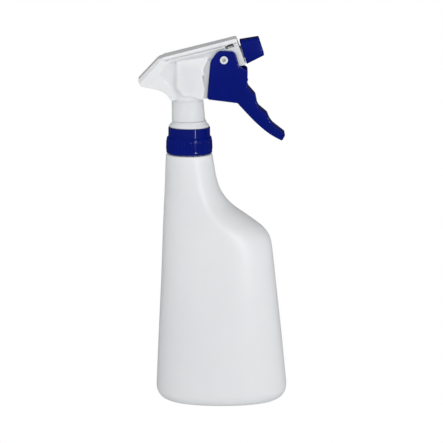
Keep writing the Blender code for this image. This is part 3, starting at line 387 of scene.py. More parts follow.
# %% Handling marks
def build_handling_marks():
    group, given, put = new_group(
        "handling_marks",
        [("Vector", "NodeSocketVector", (0, 0, 0)), ("Scale", "NodeSocketFloat", 300.0),
         ("Edge", "NodeSocketFloat", 0.6), ("Amount", "NodeSocketFloat", 0.5)],
        [("Mask", "NodeSocketFloat")],
    )
    stretch = group.nodes.new("ShaderNodeMapping")
    stretch.inputs["Scale"].default_value = (1.0, 1.0, 0.06)
    stretch.inputs["Rotation"].default_value = (0.0, 0.7, 0.3)
    group.links.new(given.outputs["Vector"], stretch.inputs["Vector"])
    scuffs = noise_node(group, stretch.outputs["Vector"], given.outputs["Scale"], 5.0, 0.7, 1.2)
    lines = group.nodes.new("ShaderNodeMapRange")
    lines.inputs["From Min"].default_value = 0.62
    lines.inputs["From Max"].default_value = 0.78
    group.links.new(scuffs, lines.inputs["Value"])
    geometry = group.nodes.new("ShaderNodeNewGeometry")
    edge = group.nodes.new("ShaderNodeMapRange")
    edge.inputs["From Min"].default_value = 0.52
    edge.inputs["From Max"].default_value = 0.62
    group.links.new(geometry.outputs["Pointiness"], edge.inputs["Value"])
    worn = math_node(group, "MULTIPLY", edge.outputs["Result"], given.outputs["Edge"])
    both = math_node(group, "ADD", lines.outputs["Result"], worn)
    total = math_node(group, "MULTIPLY", both, given.outputs["Amount"])
    group.links.new(math_node(group, "MINIMUM", total, 1.0), put.inputs["Mask"])
    return group


HANDLING_MARKS = build_handling_marks()
print("made", HANDLING_MARKS.name)


# %% [markdown]
# Each plastic is its own material: a Principled shader whose plain numbers sit on its sockets, fed by the
# three groups. One function builds that network, so the five plastics differ only in their numbers.


# %% Plastics
def place_group(tree, group, coordinates, **values):
    """A group in a material, with its vector linked and its values set by the sockets' names."""
    node = tree.nodes.new("ShaderNodeGroup")
    node.node_tree = group
    tree.links.new(coordinates, node.inputs["Vector"])
    for label, value in values.items():
        node.inputs[label].default_value = value
    return node


def plastic(name, light, dark, roughness, grain=900.0, spread=0.06, bump=0.02, mottle=40.0, marks=0.3):
    """A moulded plastic. Returns the material and its shader, so that a caller can set what is special."""
    made = bpy.data.materials.new(name)
    made.use_nodes = True
    tree = made.node_tree
    shader = tree.nodes["Principled BSDF"]
    where = tree.nodes.new("ShaderNodeTexCoord").outputs["Object"]
    tint = place_group(tree, FLOW_MOTTLE, where, Scale=mottle, Light=(*light, 1.0), Dark=(*dark, 1.0))
    tree.links.new(tint.outputs["Color"], shader.inputs["Base Color"])
    skin = place_group(tree, MOULDING_GRAIN, where, Scale=grain, Roughness=roughness, Spread=spread)
    wear = place_group(tree, HANDLING_MARKS, where, Amount=marks)
    duller = math_node(tree, "MULTIPLY_ADD", wear.outputs["Mask"], 0.25, skin.outputs["Roughness"])
    tree.links.new(duller, shader.inputs["Roughness"])
    relief = tree.nodes.new("ShaderNodeBump")
    relief.inputs["Strength"].default_value = bump
    relief.inputs["Distance"].default_value = 0.0004
    tree.links.new(skin.outputs["Height"], relief.inputs["Height"])
    tree.links.new(relief.outputs["Normal"], shader.inputs["Normal"])
    return made, shader


print("groups in every plastic:", [group.name for group in (MOULDING_GRAIN, FLOW_MOTTLE, HANDLING_MARKS)])

# %% [markdown]
# Blue polypropylene is the collar's, the lever's and the nozzle's. It is nearly black-blue, so its own mirror
# image is kept low, and a thin sharp coat gives the small bright lights on its edges.

# %% Blue plastic
BLUE, blue_shader = plastic(
    "blue_polypropylene", (0.0004, 0.0062, 0.160), (0.0003, 0.0055, 0.135), 0.20, 1100.0, 0.08, 0.05, 60.0, 0.35
)
blue_shader.inputs["IOR"].default_value = 1.49
blue_shader.inputs["Specular IOR Level"].default_value = 0.1
blue_shader.inputs["Coat Weight"].default_value = 0.6
blue_shader.inputs["Coat Roughness"].default_value = 0.06
print("made", BLUE.name)

# %% [markdown]
# White polypropylene is slightly translucent, and the milky polyethylene of the bottle is more so. Light soaks
# into both and comes out elsewhere, which evens out their shading, so both have subsurface scattering.

# %% White and milky plastic
WHITE, white_shader = plastic(
    "white_polypropylene", (0.745, 0.755, 0.765), (0.72, 0.735, 0.745), 0.30, 1000.0, 0.08, 0.05, 30.0, 0.2
)
white_shader.inputs["IOR"].default_value = 1.49
white_shader.inputs["Subsurface Weight"].default_value = 0.7
white_shader.inputs["Subsurface Radius"].default_value = (1.0, 0.9, 0.8)
white_shader.inputs["Subsurface Scale"].default_value = 0.004

MILKY, milky_shader = plastic(
    "natural_polyethylene", (0.83, 0.85, 0.89), (0.80, 0.82, 0.865), 0.34, 500.0, 0.10, 0.10, 18.0, 0.25
)
milky_shader.inputs["IOR"].default_value = 1.54
milky_shader.inputs["Specular IOR Level"].default_value = 0.8
milky_shader.inputs["Subsurface Weight"].default_value = 0.6
milky_shader.inputs["Subsurface Radius"].default_value = (1.0, 1.0, 1.05)
milky_shader.inputs["Subsurface Scale"].default_value = 0.004

print("made", WHITE.name, "and", MILKY.name)

# %% [markdown]
# The dip tube, the seals and the inserts are natural plastics and rubber, seen only once the pump is apart.

# %% Clear plastic and rubber
CLEAR, clear_shader = plastic(
    "clear_polyethylene", (0.72, 0.74, 0.76), (0.68, 0.70, 0.72), 0.25, 800.0, 0.08, 0.05, 50.0, 0.2
)
clear_shader.inputs["Subsurface Weight"].default_value = 0.3
clear_shader.inputs["Subsurface Scale"].default_value = 0.002

SEAL, seal_shader = plastic(
    "soft_seal_rubber", (0.52, 0.52, 0.50), (0.46, 0.46, 0.44), 0.62, 700.0, 0.08, 0.15, 80.0, 0.1
)
print("made", CLEAR.name, "and", SEAL.name)

# %% [markdown]
# The two springs and the inlet ball are stainless steel. Drawn wire has fine lines along it, and a ball is
# polished, so one metal with a slight unevenness in its roughness does for all three.


# %% Stainless steel
def build_steel():
    made = bpy.data.materials.new("stainless_steel")
    made.use_nodes = True
    tree = made.node_tree
    shader = tree.nodes["Principled BSDF"]
    shader.inputs["Metallic"].default_value = 1.0
    where = tree.nodes.new("ShaderNodeTexCoord").outputs["Object"]
    bright, dull = (0.62, 0.62, 0.63, 1), (0.5, 0.5, 0.51, 1)
    tint = place_group(tree, FLOW_MOTTLE, where, Scale=200.0, Light=bright, Dark=dull)
    skin = place_group(tree, MOULDING_GRAIN, where, Scale=2500.0, Roughness=0.22, Spread=0.2)
    tree.links.new(tint.outputs["Color"], shader.inputs["Base Color"])
    tree.links.new(skin.outputs["Roughness"], shader.inputs["Roughness"])
    return made


STEEL = build_steel()
print("materials:", [made.name for made in bpy.data.materials])

# %% [markdown]
# ## The bottle
# A blow-moulded bottle is a tube of melt blown against a mould, so its wall is thin and even and its shapes
# are soft. Here it is drawn as a stack of oval sections: a sheet of quads is rolled round the sections, up the
# outside, over the rim and down the inside, and welded along its seam. That gives a closed wall in one go.
#
# The front shoulder is a ridge rather than a round: the sections there have a squareness under 2, so their
# front is nearly pointed, and the light catches it in a soft line.

# %% Bottle sections: height, back, ridge, front, half depth, squareness behind the ridge and before it
BOTTLE_SECTIONS = [
    (13.0, -25.0, 23.6, 72.5, 34.0, 2.2, 2.2),
    (50.0, -23.3, 22.7, 68.8, 33.0, 2.3, 2.3),
    (90.0, -21.3, 21.5, 64.4, 31.0, 2.5, 2.5),
    (110.0, -20.5, 21.0, 62.2, 29.4, 2.6, 2.5),
    (120.0, -20.1, 22.0, 60.8, 28.2, 2.6, 2.3),
    (126.0, -19.9, 23.0, 58.6, 27.4, 2.5, 2.1),
    (132.0, -19.7, 22.0, 53.6, 26.4, 2.5, 1.9),
    (139.2, -19.3, 17.0, 44.2, 25.0, 2.4, 1.75),
    (148.3, -18.9, 11.0, 31.6, 22.9, 2.3, 1.75),
    (157.3, -18.4, 7.0, 24.2, 20.8, 2.2, 1.85),
    (167.0, -18.0, 3.5, 20.4, 19.2, 2.1, 1.95),
    (178.0, -17.6, 0.6, 18.3, 17.9, 2.0, 2.0),
]
BOTTLE_WALL = 1.1
BASE_FILLET = 10.0
FOOT_WIDTH = 5.0
PUSH_UP = 2.2
SHOULDER_R = 17.3
SHOULDER_Z = 186.6
SHOULDER_CORNER = 1.6
NECK_R = 12.5
NECK_BORE_R = 10.6
RIM_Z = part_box("bottle")[1].z / MM
BODY_STEP = 1.5


def section_at(z):
    """The section at a height in millimetres, on a smooth curve through the listed ones."""
    heights = [row[0] for row in BOTTLE_SECTIONS]
    z = min(max(z, heights[0]), heights[-1] - 1e-6)
    i = max(k for k, height in enumerate(heights[:-1]) if height <= z)
    last = len(heights) - 1
    rows = [BOTTLE_SECTIONS[min(max(k, 0), last)] for k in (i - 1, i, i + 1, i + 2)]
    t = (z - heights[i]) / (heights[i + 1] - heights[i])
    span = rows[2][0] - rows[1][0]
    found = []
    for column in range(1, 7):
        p0, p1, p2, p3 = (row[column] for row in rows)
        m1 = (p2 - p0) / (rows[2][0] - rows[0][0]) * span
        m2 = (p3 - p1) / (rows[3][0] - rows[1][0]) * span
        found.append(
            (2 * t**3 - 3 * t**2 + 1) * p1 + (t**3 - 2 * t**2 + t) * m1
            + (3 * t**2 - 2 * t**3) * p2 + (t**3 - t**2) * m2
        )
    return found


def round_section(radius):
    return (-radius, 0.0, radius, radius, 2.0, 2.0)


print("the middle section is", [round(value, 1) for value in section_at(100.0)])


# %% [markdown]
# The wall's outside and its inside go through the same heights: the pushed-up middle, the foot that it stands
# on, the rounded base, the body, the shoulder's corner and the neck. The inside is the same skin moved in.


# %% Rows up the wall
def bottle_skin(grow, neck_r, top):
    """The sections up one side of the wall as (height, section, inset), from the middle of the base."""
    foot = section_at(0.0)
    rows = [(grow + PUSH_UP, foot, 24.9 + grow), (grow + PUSH_UP, foot, BASE_FILLET + FOOT_WIDTH + 4.0)]
    rows += [(grow + PUSH_UP * 0.5, foot, BASE_FILLET + FOOT_WIDTH + 1.8)]
    rows += [(grow, foot, BASE_FILLET + FOOT_WIDTH), (grow, foot, BASE_FILLET + 1.0)]
    fillet = BASE_FILLET - grow
    for k in range(9):
        angle = math.pi / 2 * k / 8
        inset = BASE_FILLET - fillet * math.sin(angle)
        rows.append((BASE_FILLET - fillet * math.cos(angle), foot, inset))
    low, high = BOTTLE_SECTIONS[0][0], BOTTLE_SECTIONS[-1][0]
    count = round((high - low) / BODY_STEP)
    rows += [(z, section_at(z), grow) for z in (low + (high - low) * k / count for k in range(count + 1))]
    corner, radius, shoulder = SHOULDER_CORNER, SHOULDER_R - grow, SHOULDER_Z - grow
    for k in range(7):
        angle = math.pi / 2 * k / 6
        here = radius - corner * (1 - math.cos(angle))
        rows.append((shoulder - corner * (1 - math.sin(angle)), round_section(here), 0.0))
    rows += [(shoulder, round_section(neck_r + 0.5), 0.0), (shoulder + 0.5, round_section(neck_r), 0.0)]
    return rows + [(top, round_section(neck_r), 0.0)]


def around(section, inset, share):
    """The point of a section at a share of the way round, in millimetres off the neck's axis."""
    back, ridge, front, depth, back_square, front_square = section
    c, s = math.cos(2 * math.pi * share), math.sin(2 * math.pi * share)
    square = front_square if c > 0 else back_square
    reach = (front - ridge if c > 0 else ridge - back) - inset
    x = ridge + math.copysign(abs(c) ** (2 / square), c) * reach
    y = math.copysign(abs(s) ** (2 / square), s) * (depth - inset)
    return x, y


print(len(bottle_skin(0.0, NECK_R, RIM_Z)), "rows up the outside")


# %% [markdown]
# A grid of quads is rolled round those rows. The thread is a trapezoid that `bmesh.ops.spin` turns and lifts
# at once, and a Boolean joins it to the neck.


# %% The bottle and its thread
def thread_ridge(name, inner, outer, middle_z, inner_width, outer_width, pitch=4.233, turns=1.5):
    """A screw thread's ridge: a trapezoid swept up a right-hand helix."""
    bm = bmesh.new()
    rise = pitch * turns
    low = middle_z - rise / 2
    corners = [
        (inner, low - inner_width / 2), (outer, low - outer_width / 2),
        (outer, low + outer_width / 2), (inner, low + inner_width / 2),
    ]
    face = bm.faces.new([bm.verts.new((NECK_X + r * MM, 0.0, z * MM)) for r, z in corners])
    steps = 108
    bmesh.ops.spin(
        bm, geom=[face], cent=(NECK_X, 0, 0), axis=(0, 0, 1), angle=2 * math.pi * turns,
        dvec=(0, 0, rise * MM / steps), steps=steps,
    )
    return make_object(bm, name)


def make_bottle(sides=96):
    outside = bottle_skin(0.0, NECK_R, RIM_Z)
    inside = bottle_skin(BOTTLE_WALL, NECK_BORE_R, RIM_Z)
    rows = outside + inside[::-1]
    bm = bmesh.new()
    bmesh.ops.create_grid(bm, x_segments=sides, y_segments=len(rows) - 1, size=1.0)
    for point in bm.verts:
        share = (point.co.x + 1) / 2
        z, section, inset = rows[round((point.co.y + 1) / 2 * (len(rows) - 1))]
        x, y = around(section, inset, share + 0.5 / sides)
        point.co = (NECK_X + x * MM, y * MM, z * MM)
    bmesh.ops.remove_doubles(bm, verts=bm.verts, dist=1e-7)
    bmesh.ops.holes_fill(bm, edges=[edge for edge in bm.edges if edge.is_boundary])
    bottle = make_object(bm, "bottle_wall")
    thread = thread_ridge("neck_thread", NECK_R - 0.6, NECK_R + 1.2, RIM_Z - 6.6, 2.75, 1.1)
    return combine(bottle, [thread], "UNION")


bottle = make_bottle()
finish_piece(bottle, "bottle", MILKY, ["bottle"], 40.0)

# %% [markdown]
# ## The collar
# The collar is turned from one profile: a plain top, a rounded step out to the grip, the grip itself and a
# smooth foot. Its ribs are then raised from the grip by moving the points of that band out and in, which keeps
# the solid closed and costs no Boolean. Inside it has its own thread, which runs in the neck's.

# %% Collar
RIBS = 42
THREAD_PITCH = 4.233
STEPS_PER_RIB = 8
RIB_HEIGHT = 0.33 * MM
COLLAR_LOW, COLLAR_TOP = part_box("collar")[0].z / MM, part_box("collar")[1].z / MM
GRIP_LOW, GRIP_HIGH = 189.6, 197.2


def collar_profile():
    """The collar's section as (radius, height) in millimetres, down the outside and up the inside."""
    low, top = COLLAR_LOW, COLLAR_TOP
    outside = [(15.1, top), (15.35, top - 0.25), (15.4, top - 0.6), (15.45, 200.2), (15.65, 199.6)]
    outside += [(16.05, 199.2), (16.4, 198.9), (16.6, 198.4), (16.65, 197.9)]
    grip = 16
    for k in range(grip + 1):
        share = k / grip
        outside.append((16.65 + 0.25 * share, GRIP_HIGH + (GRIP_LOW - GRIP_HIGH) * share))
    outside += [(16.98, low + 1.6), (17.0, low + 0.6), (16.9, low + 0.2), (16.6, low)]
    wall = NECK_R + 1.2 + 0.4
    inside = [(wall + 0.3, low), (wall, low + 0.3), (wall, 205.3), (11.55, 205.3), (11.55, top)]
    return outside + inside


def make_collar():
    steps = RIBS * STEPS_PER_RIB
    collar = turned("collar_grip", collar_profile(), steps, AT_NECK)
    for point in collar.data.vertices:
        x, y, z = point.co.x - NECK_X, point.co.y, point.co.z / MM
        radius = math.hypot(x, y)
        if radius < 16.5 * MM or not GRIP_LOW - 0.1 < z < GRIP_HIGH + 0.1:
            continue
        along = math.atan2(y, x) * RIBS
        ridge = min(1.0, max(0.0, math.cos(along) * 1.6 + 0.1))
        fade = min(1.0, (z - GRIP_LOW) / 0.7, (GRIP_HIGH - z) / 0.7)
        grown = 1 + (ridge * max(fade, 0.0) * RIB_HEIGHT) / radius
        point.co = (NECK_X + x * grown, y * grown, point.co.z)
    thread = thread_ridge("collar_thread", NECK_R + 0.4, NECK_R + 2.1, RIM_Z - 6.6 + THREAD_PITCH / 2, 1.0, 2.2)
    return combine(collar, [thread], "UNION")


collar = make_collar()
finish_piece(collar, "collar", BLUE, ["collar"], 30.0)

# %% [markdown]
# ## The pump body
# One moulding carries everything in the head: the flange that the collar clamps, the flared sleeve, the riser,
# the barrel to the nozzle, the open cylinder for the piston and the two pivot stubs for the lever. Each of its
# shapes is a round bar or a box in the pump's tilted frame, joined with Booleans and then bored.

# %% Pump body
SLEEVE_R = 10.9
FLARE_LOW = COLLAR_TOP + 0.2
SLEEVE_LOW = FLARE_LOW + 4.4
ROOF = SLEEVE_LOW + 13.5
CYLINDER_FLOOR, CYLINDER_MOUTH = -40.0, -16.5
BARREL_R, BARREL_FRONT = 4.7, 9.0
PIVOT_R, PIVOT_HALF = 2.85, 12.2
NECK_U = -NOZZLE_BACK.x / MM / math.cos(TILT) + NECK_X / MM / math.cos(TILT)


def sleeve_profile():
    """The turned middle of the pump body: the sleeve, its flare, the groove for the collar and the intake."""
    top = SLEEVE_R - 1.1
    outside = [(0.0, ROOF), (top - 0.7, ROOF), (top - 0.2, ROOF - 0.2), (top, ROOF - 0.7)]
    outside += [(SLEEVE_R, SLEEVE_LOW), (12.2, SLEEVE_LOW)]
    for k in range(9):
        share = k / 8
        outside.append((12.45 + 2.2 * share**1.7, SLEEVE_LOW - 0.05 - 3.15 * share))
    outside += [(14.7, FLARE_LOW + 0.9), (14.7, FLARE_LOW + 0.4), (14.55, FLARE_LOW)]
    flange_top, flange_low = 205.3, 204.2
    groove = [(11.2, FLARE_LOW), (11.2, flange_top), (12.7, flange_top), (12.7, flange_low)]
    inside = [(9.4, flange_low), (8.6, ROOF - 2.0), (5.2, ROOF - 2.0), (5.2, 196.8), (5.0, 196.6)]
    return outside + groove + inside + [(4.0, 196.6), (4.0, 218.1), (0.0, 218.1)]


print("the sleeve runs from", round(SLEEVE_LOW, 1), "to", round(ROOF, 1), "mm")


# %% [markdown]
# The bars and boxes are joined first and bored last, so that no later piece fills a bore again. The stubs that
# carry the lever are turned, with the small hollow in their ends that moulding leaves.


# %% Joining and boring the pump body
def make_pump_body():
    body = turned("pump_frame", sleeve_profile(), 96, AT_NECK)
    stem_top = pump_mm(NECK_U, 0).z / MM
    joined = [
        rod("stem", 5.5, ROOF - 1, stem_top, AT_NECK),
        rod("shell", 8.7, CYLINDER_FLOOR - 3.5, CYLINDER_MOUTH, AT_CYLINDER),
        rod("barrel", BARREL_R, NECK_U - 4, BARREL_FRONT, ALONG_SPRAY),
        rod("bead", BARREL_R + 0.4, 6.0, 7.0, ALONG_SPRAY),
        box("web", (-40, -1.5, -17), (-25, 1.5, 0), IN_PUMP, 0.3),
        rod("root", PIVOT_R + 1.6, -9.65, 9.65, ACROSS_PIVOT),
        box("post", (-10.2, -2.5, 1), (-4.8, 2.5, 6.9), IN_PUMP, 0.2),
        box("lug", (-10.2, -6.2, 6.1), (-5.8, 6.2, 7.1), IN_PUMP, 0.2),
    ]
    half, dimple = PIVOT_HALF, PIVOT_R * 0.5
    stub = [(dimple, half - 0.15), (dimple + 0.15, half), (PIVOT_R - 0.35, half), (PIVOT_R - 0.1, half - 0.1)]
    stub += [(PIVOT_R, half - 0.35), (PIVOT_R, 1.0), (0.0, 1.0), (0.0, half - 3.0), (dimple, half - 3.0)]
    for side in (0.0, math.pi):
        place = Matrix.Rotation(side, 4, "Z") @ Matrix.Rotation(math.pi / 2, 4, "X")
        place = Matrix.Translation(PIVOT) @ place
        joined.append(turned("stub", stub, 48, place))
    combine(body, joined, "UNION")
    below = Matrix.Translation(LIFT * (-20 * MM)) @ ALONG_SPRAY
    bored = [
        rod("channel", 1.5, 217, stem_top - 3, AT_NECK, 32),
        rod("bore", 6.9, CYLINDER_FLOOR, CYLINDER_MOUTH + 1, AT_CYLINDER),
        rod("port", 1.2, NECK_U - 6, CYLINDER_FLOOR + 1, below, 32),
        rod("way_out", 2.0, NECK_U, BARREL_FRONT + 1, ALONG_SPRAY, 32),
        rod("socket", 3.5, -4, BARREL_FRONT + 1, ALONG_SPRAY, 48),
    ]
    return combine(body, bored, "DIFFERENCE")


pump_body = make_pump_body()
finish_piece(pump_body, "head", WHITE, ["pump_body"], 35.0)

# %% [markdown]
# ## The shroud
# The white cover snaps over the pump from above. It is one thin moulding with several overlapping shapes: a
# tall web with a raised rim round it, a thicker cap along its top, a bulge that clears the cylinder, and a
# round skirt over the sleeve. On a moulding the shapes flow into each other with small fillets.
#
# To get those fillets, the outer solids are simply laid over each other, turned into one skin by a voxel
# remesh and then relaxed a little. The hollow inside, the windows and the clean edges are cut afterwards, so
# that they stay crisp.

# %% Shroud shapes
SIDE_TAPER = 0.035
WEB_HALF = 8.2
TAIL_TIP, TAIL_HEEL = (-37.6, 241.8), (-35.4, 238.0)
TOP_BACK, TOP_FRONT = (-22.4, 258.4), (34.6, 272.9)
FACE_FOOT = (41.8, 253.4)
TAIL_CHAMFER = 3.0
RIM_PROUD, CAP_PROUD = 0.45, 1.1
PIVOT_U, PIVOT_V = -14.87, -0.42
LOBE_ROOM = PIVOT_R + 1.95
SKIRT_R, SKIRT_BORE_R, SKIRT_SHIFT = 12.4, 11.1, -0.4
PANEL_HALF, PANEL_INSIDE = 9.75, 8.85


def web_outline(inset=0.0, below=0.0):
    """The shroud's side outline, with its closed sides moved in and its open lower side moved down."""
    return [
        (TAIL_TIP[0] + 1.3 * inset, TAIL_TIP[1], 1.2),
        (TOP_BACK[0] + 0.4 * inset, TOP_BACK[1] - 0.5 - inset, 3.0),
        (TOP_FRONT[0] - inset, TOP_FRONT[1] - 0.5 - 1.25 * inset, 0.6),
        (FACE_FOOT[0] - inset, FACE_FOOT[1] - below, 0.6),
        (9.0, 246.0 - below), (8.0, 232.0 - below), (-13.0 + below * 0.5, 227.0 + below * 0.5),
        (-18.0, 234.0 - below * 0.8, 12.0), (TAIL_HEEL[0] + 0.5 * inset, TAIL_HEEL[1] - below, 1.0),
    ]


def make_rim():
    """The raised border that runs down the tail's slope and back under it to the neck."""
    rim = prism("rim", web_outline(), WEB_HALF + RIM_PROUD, 0.3, taper=SIDE_TAPER)
    window = [
        (-22.0, 245.6, 2.0), (-13.4, 256.0, 1.5), (40.0, 269.2), (60.0, 270.0), (60.0, 200.0), (-6.0, 200.0),
        (-9.4, 230.0), (-13.6, 238.2, 3.0),
    ]
    return combine(rim, [prism("rim_window", window, 30.0)], "DIFFERENCE")


def make_cap():
    """The thicker strip along the top, which overhangs the sides."""
    outline = [(-19.2, 256.9), (-19.2, 259.2, 0.4), (*TOP_FRONT, 0.6), (35.3, 269.9), (-17.4, 257.2)]
    return prism("cap", outline, WEB_HALF + CAP_PROUD, 1.5, taper=SIDE_TAPER, rim_segments=5)


print("the top rises", round(TOP_FRONT[1] - TOP_BACK[1], 1), "mm from the tail to the nozzle")


# %% [markdown]
# The bulge clears the cylinder. `one_skin` melts all the outer shapes into one surface with small fillets, and
# `relax` softens a window of it further, as where the bulge grows out of the web.


# %% The bulge, and one skin over all
def leaning(piece):
    """The bulge's flanks, or its hollow's, drawn together above the cylinder."""
    for point in piece.data.vertices:
        above = max(point.co.z / MM - 246.0, 0.0)
        point.co.y *= 1 - above * 0.014
    return piece


def make_bulge():
    """The swollen middle: its flanks are rounded off all round and lean in above the cylinder."""
    outline = [
        (-9.3, 256.4, 2.0), (15.5, 260.0, 2.0), (10.6, 250.5, 5.0), (11.5, 246.0), (14.0, 246.0), (14.0, 228.0),
        (8.0, 228.4), (2.0, 230.4), (-4.6, 230.8, 3.5), (-9.6, 236.0, 5.0),
    ]
    return leaning(prism("bulge", outline, 14.2, 3.4, rim_segments=5))


def one_skin(name, solids, voxel=0.42, rounds=5):
    """One smooth closed skin round all the solids, which it uses up."""
    bm = bmesh.new()
    for solid in solids:
        bm.from_mesh(solid.data)
        bpy.data.objects.remove(solid)
    joined = make_object(bm, name)
    remesh = joined.modifiers.new("remesh", "REMESH")
    remesh.mode = "VOXEL"
    remesh.voxel_size = voxel * MM
    bake_modifiers(joined)
    bm = bmesh.new()
    bm.from_mesh(joined.data)
    for _ in range(rounds):
        bmesh.ops.smooth_vert(bm, verts=bm.verts, factor=0.5, use_axis_x=True, use_axis_y=True, use_axis_z=True)
    bm.to_mesh(joined.data)
    bm.free()
    return joined


def relax(piece, back, front, low, high, rounds):
    """Softens the flanks of a piece inside a window of the side view, given in millimetres."""
    bm = bmesh.new()
    bm.from_mesh(piece.data)
    inside = []
    for point in bm.verts:
        x, z = (point.co.x - NECK_X) / MM, point.co.z / MM
        if back < x < front and low < z < high and abs(point.co.y) > 6 * MM:
            inside.append(point)
    for _ in range(rounds):
        bmesh.ops.smooth_vert(bm, verts=inside, factor=0.5, use_axis_x=True, use_axis_y=True, use_axis_z=True)
    bm.to_mesh(piece.data)
    bm.free()


print("the web is", 2 * WEB_HALF, "mm wide at its front")


# %% [markdown]
# Four details stay crisp, so they are cutters or are added after the skin: the tail's flat edges, the open
# front, the guard panel between the lever's plates, and the shadow line under the cap.


# %% Cutters and the panel
def tail_chamfers():
    """Cutters for the wide flat edges down both sides of the tail's slope."""
    run = Vector((TOP_BACK[0] - TAIL_TIP[0], 0, TOP_BACK[1] - TAIL_TIP[1])).normalized()
    out = Vector((-run.z, 0, run.x))
    middle = neck_mm((TOP_BACK[0] + TAIL_TIP[0]) / 2, (TOP_BACK[1] + TAIL_TIP[1]) / 2)
    half = WEB_HALF + RIM_PROUD + (FACE_FOOT[0] - (TOP_BACK[0] + TAIL_TIP[0]) / 2) * SIDE_TAPER
    cutters = []
    for side in (-1, 1):
        away = (out + Vector((0, side, 0))).normalized()
        across = away.cross(run)
        turn = Matrix((run, across, away)).transposed().to_4x4()
        corner = middle + Vector((0, side * half * MM, 0)) - away * TAIL_CHAMFER / math.sqrt(2) * MM
        cutters.append(box("tail_chamfer", (-14, -9, 0), (14, 9, 12), Matrix.Translation(corner) @ turn))
    return cutters


def make_front_cut():
    """What is open in front of the bulge: all of it, but for the thin panel between the lever's plates."""
    front = [
        (9.5, 246.3), (15.6, 247.1), (41.7, 253.2), (60, 253.2),
        (60, 205), (12.4, 205), (10.2, 227), (11.7, 236),
    ]
    kept = prism("kept", [(2, 262), (15.8, 262), (15.4, 247), (13.6, 228.6), (2, 228.6)], 9.9)
    return combine(prism("front_cut", front, 20.0), [kept], "DIFFERENCE")


def make_panel():
    """The thin guard between the lever's plates, open at the front for the piston."""
    outline = [(5.5, 255.5), (16.4, 256.5), (15.4, 246), (13.4, 228.8), (5.5, 228.8)]
    panel = prism("panel", outline, PANEL_HALF)
    hollow = prism("panel_hollow", [(3, 254.5), (18, 255.5), (18, 220), (3, 220)], PANEL_INSIDE)
    return combine(panel, [hollow, rod("lobe_room", LOBE_ROOM, -15.2, 15.2, ACROSS_PIVOT)], "DIFFERENCE")


def make_cap_groove():
    """The shadow line under the cap, about a millimetre deep."""
    groove = prism("cap_groove", [(-17.0, 256.6), (36.0, 269.5), (36.0, 270.3), (-17.0, 257.4)], 20.0)
    core = prism("core", [(-60, 240), (36, 240), (36, 290), (-60, 290)], WEB_HALF - 0.25, taper=SIDE_TAPER)
    return combine(groove, [core], "DIFFERENCE")


print("the panel's wall is", round(PANEL_HALF - PANEL_INSIDE, 2), "mm")


# %% [markdown]
# Then the shroud is put together: the skin, what is cut from it, and the panel. The arches over the pivot stubs
# are open downwards, because the real cover is pushed down over them.


# %% Putting the shroud together
def make_shroud():
    skirt_place = Matrix.Translation((NECK_X + SKIRT_SHIFT * MM, 0, 0))
    solids = [
        prism("web", web_outline(), WEB_HALF - 0.55, taper=SIDE_TAPER), make_rim(), make_cap(), make_bulge(),
        rod("skirt", SKIRT_R, SLEEVE_LOW + 0.1, ROOF + 6, skirt_place, 96),
        rod("skirt_head", SKIRT_R + 0.8, 227.4, 233.0, skirt_place, 96),
    ]
    shroud = one_skin("shroud_skin", solids, rounds=3)
    relax(shroud, -18.0, -5.5, 231.0, 254.5, 40)
    relax(shroud, -15.0, -6.5, 229.0, 250.0, 30)
    arch = LOBE_ROOM
    hollow = [(-7.6, 254.4), (15.4, 255.4), (15.4, 228.6), (10.0, 229.4), (3.5, 232.8), (-7.6, 232.8)]
    cuts = [
        prism("web_hollow", web_outline(1.3, 6.0), WEB_HALF - 1.6, 2.4, taper=SIDE_TAPER),
        *tail_chamfers(),
        leaning(prism("bulge_hollow", hollow, 12.7, 3.0)),
        rod("skirt_bore", SKIRT_BORE_R, SLEEVE_LOW - 1, 230.0, AT_NECK, 96),
        rod("barrel_mouth", BARREL_R + 0.35, -8, 4, ALONG_SPRAY),
        rod("boss_arch", arch, -15.2, 15.2, ACROSS_PIVOT),
        box("boss_gate", (PIVOT_U - arch, -15.2, PIVOT_V - 3 * arch), (PIVOT_U + arch, 15.2, PIVOT_V), IN_PUMP),
        box("windows", (-11.1, -14.2, 6.3), (-4.9, 14.2, 8.8), IN_PUMP),
        prism("skirt_slit", [(10.1, 227.4), (12.3, 210.5), (12.3, 205), (30, 205), (30, 227.4)], 20.0),
        make_front_cut(),
        make_cap_groove(),
    ]
    return combine(combine(shroud, cuts, "DIFFERENCE"), [make_panel()], "UNION")


shroud = make_shroud()
finish_piece(shroud, "head", WHITE, ["shroud"], 40.0)

# %% [markdown]
# ## The lever
# The blue lever is a deep channel: two plates that straddle the head and a front wall for the fingers. Its
# side outline has a lobe round the pivot, three finger steps and a long tip. The outline is extruded and
# bevelled, then narrowed towards the tip, and the inside is cut out with an even wall. A small dimple near the
# tip and a short bead by the front wall are left by moulding.

# %% Lever
FINGER_SIDE = [
    (43.0, 249.6, 1.5), (42.7, 237.2, 6.0), (48.8, 230.4, 2.5), (50.4, 222.4, 6.0), (57.4, 216.6, 2.5),
    (60.0, 210.2, 12.0), (71.0, 201.8, 1.8),
]
LEVER_HALF, LEVER_WALL, LEVER_FRONT = 11.4, 1.4, 2.0
WAIST_X, WAIST_TAPER = 37.0, 0.11
DIMPLE_X, DIMPLE_R, BEAD_R = 68.7, 0.9, 0.75
DIMPLE_Y = LEVER_HALF - (DIMPLE_X - WAIST_X) * WAIST_TAPER + 0.35


def waisted(piece, half):
    """The lever narrows towards its tip, in front of its waist."""
    for point in piece.data.vertices:
        ahead = max((point.co.x - NECK_X) / MM - WAIST_X, 0.0)
        point.co.y *= 1 - ahead * WAIST_TAPER / half
    return piece


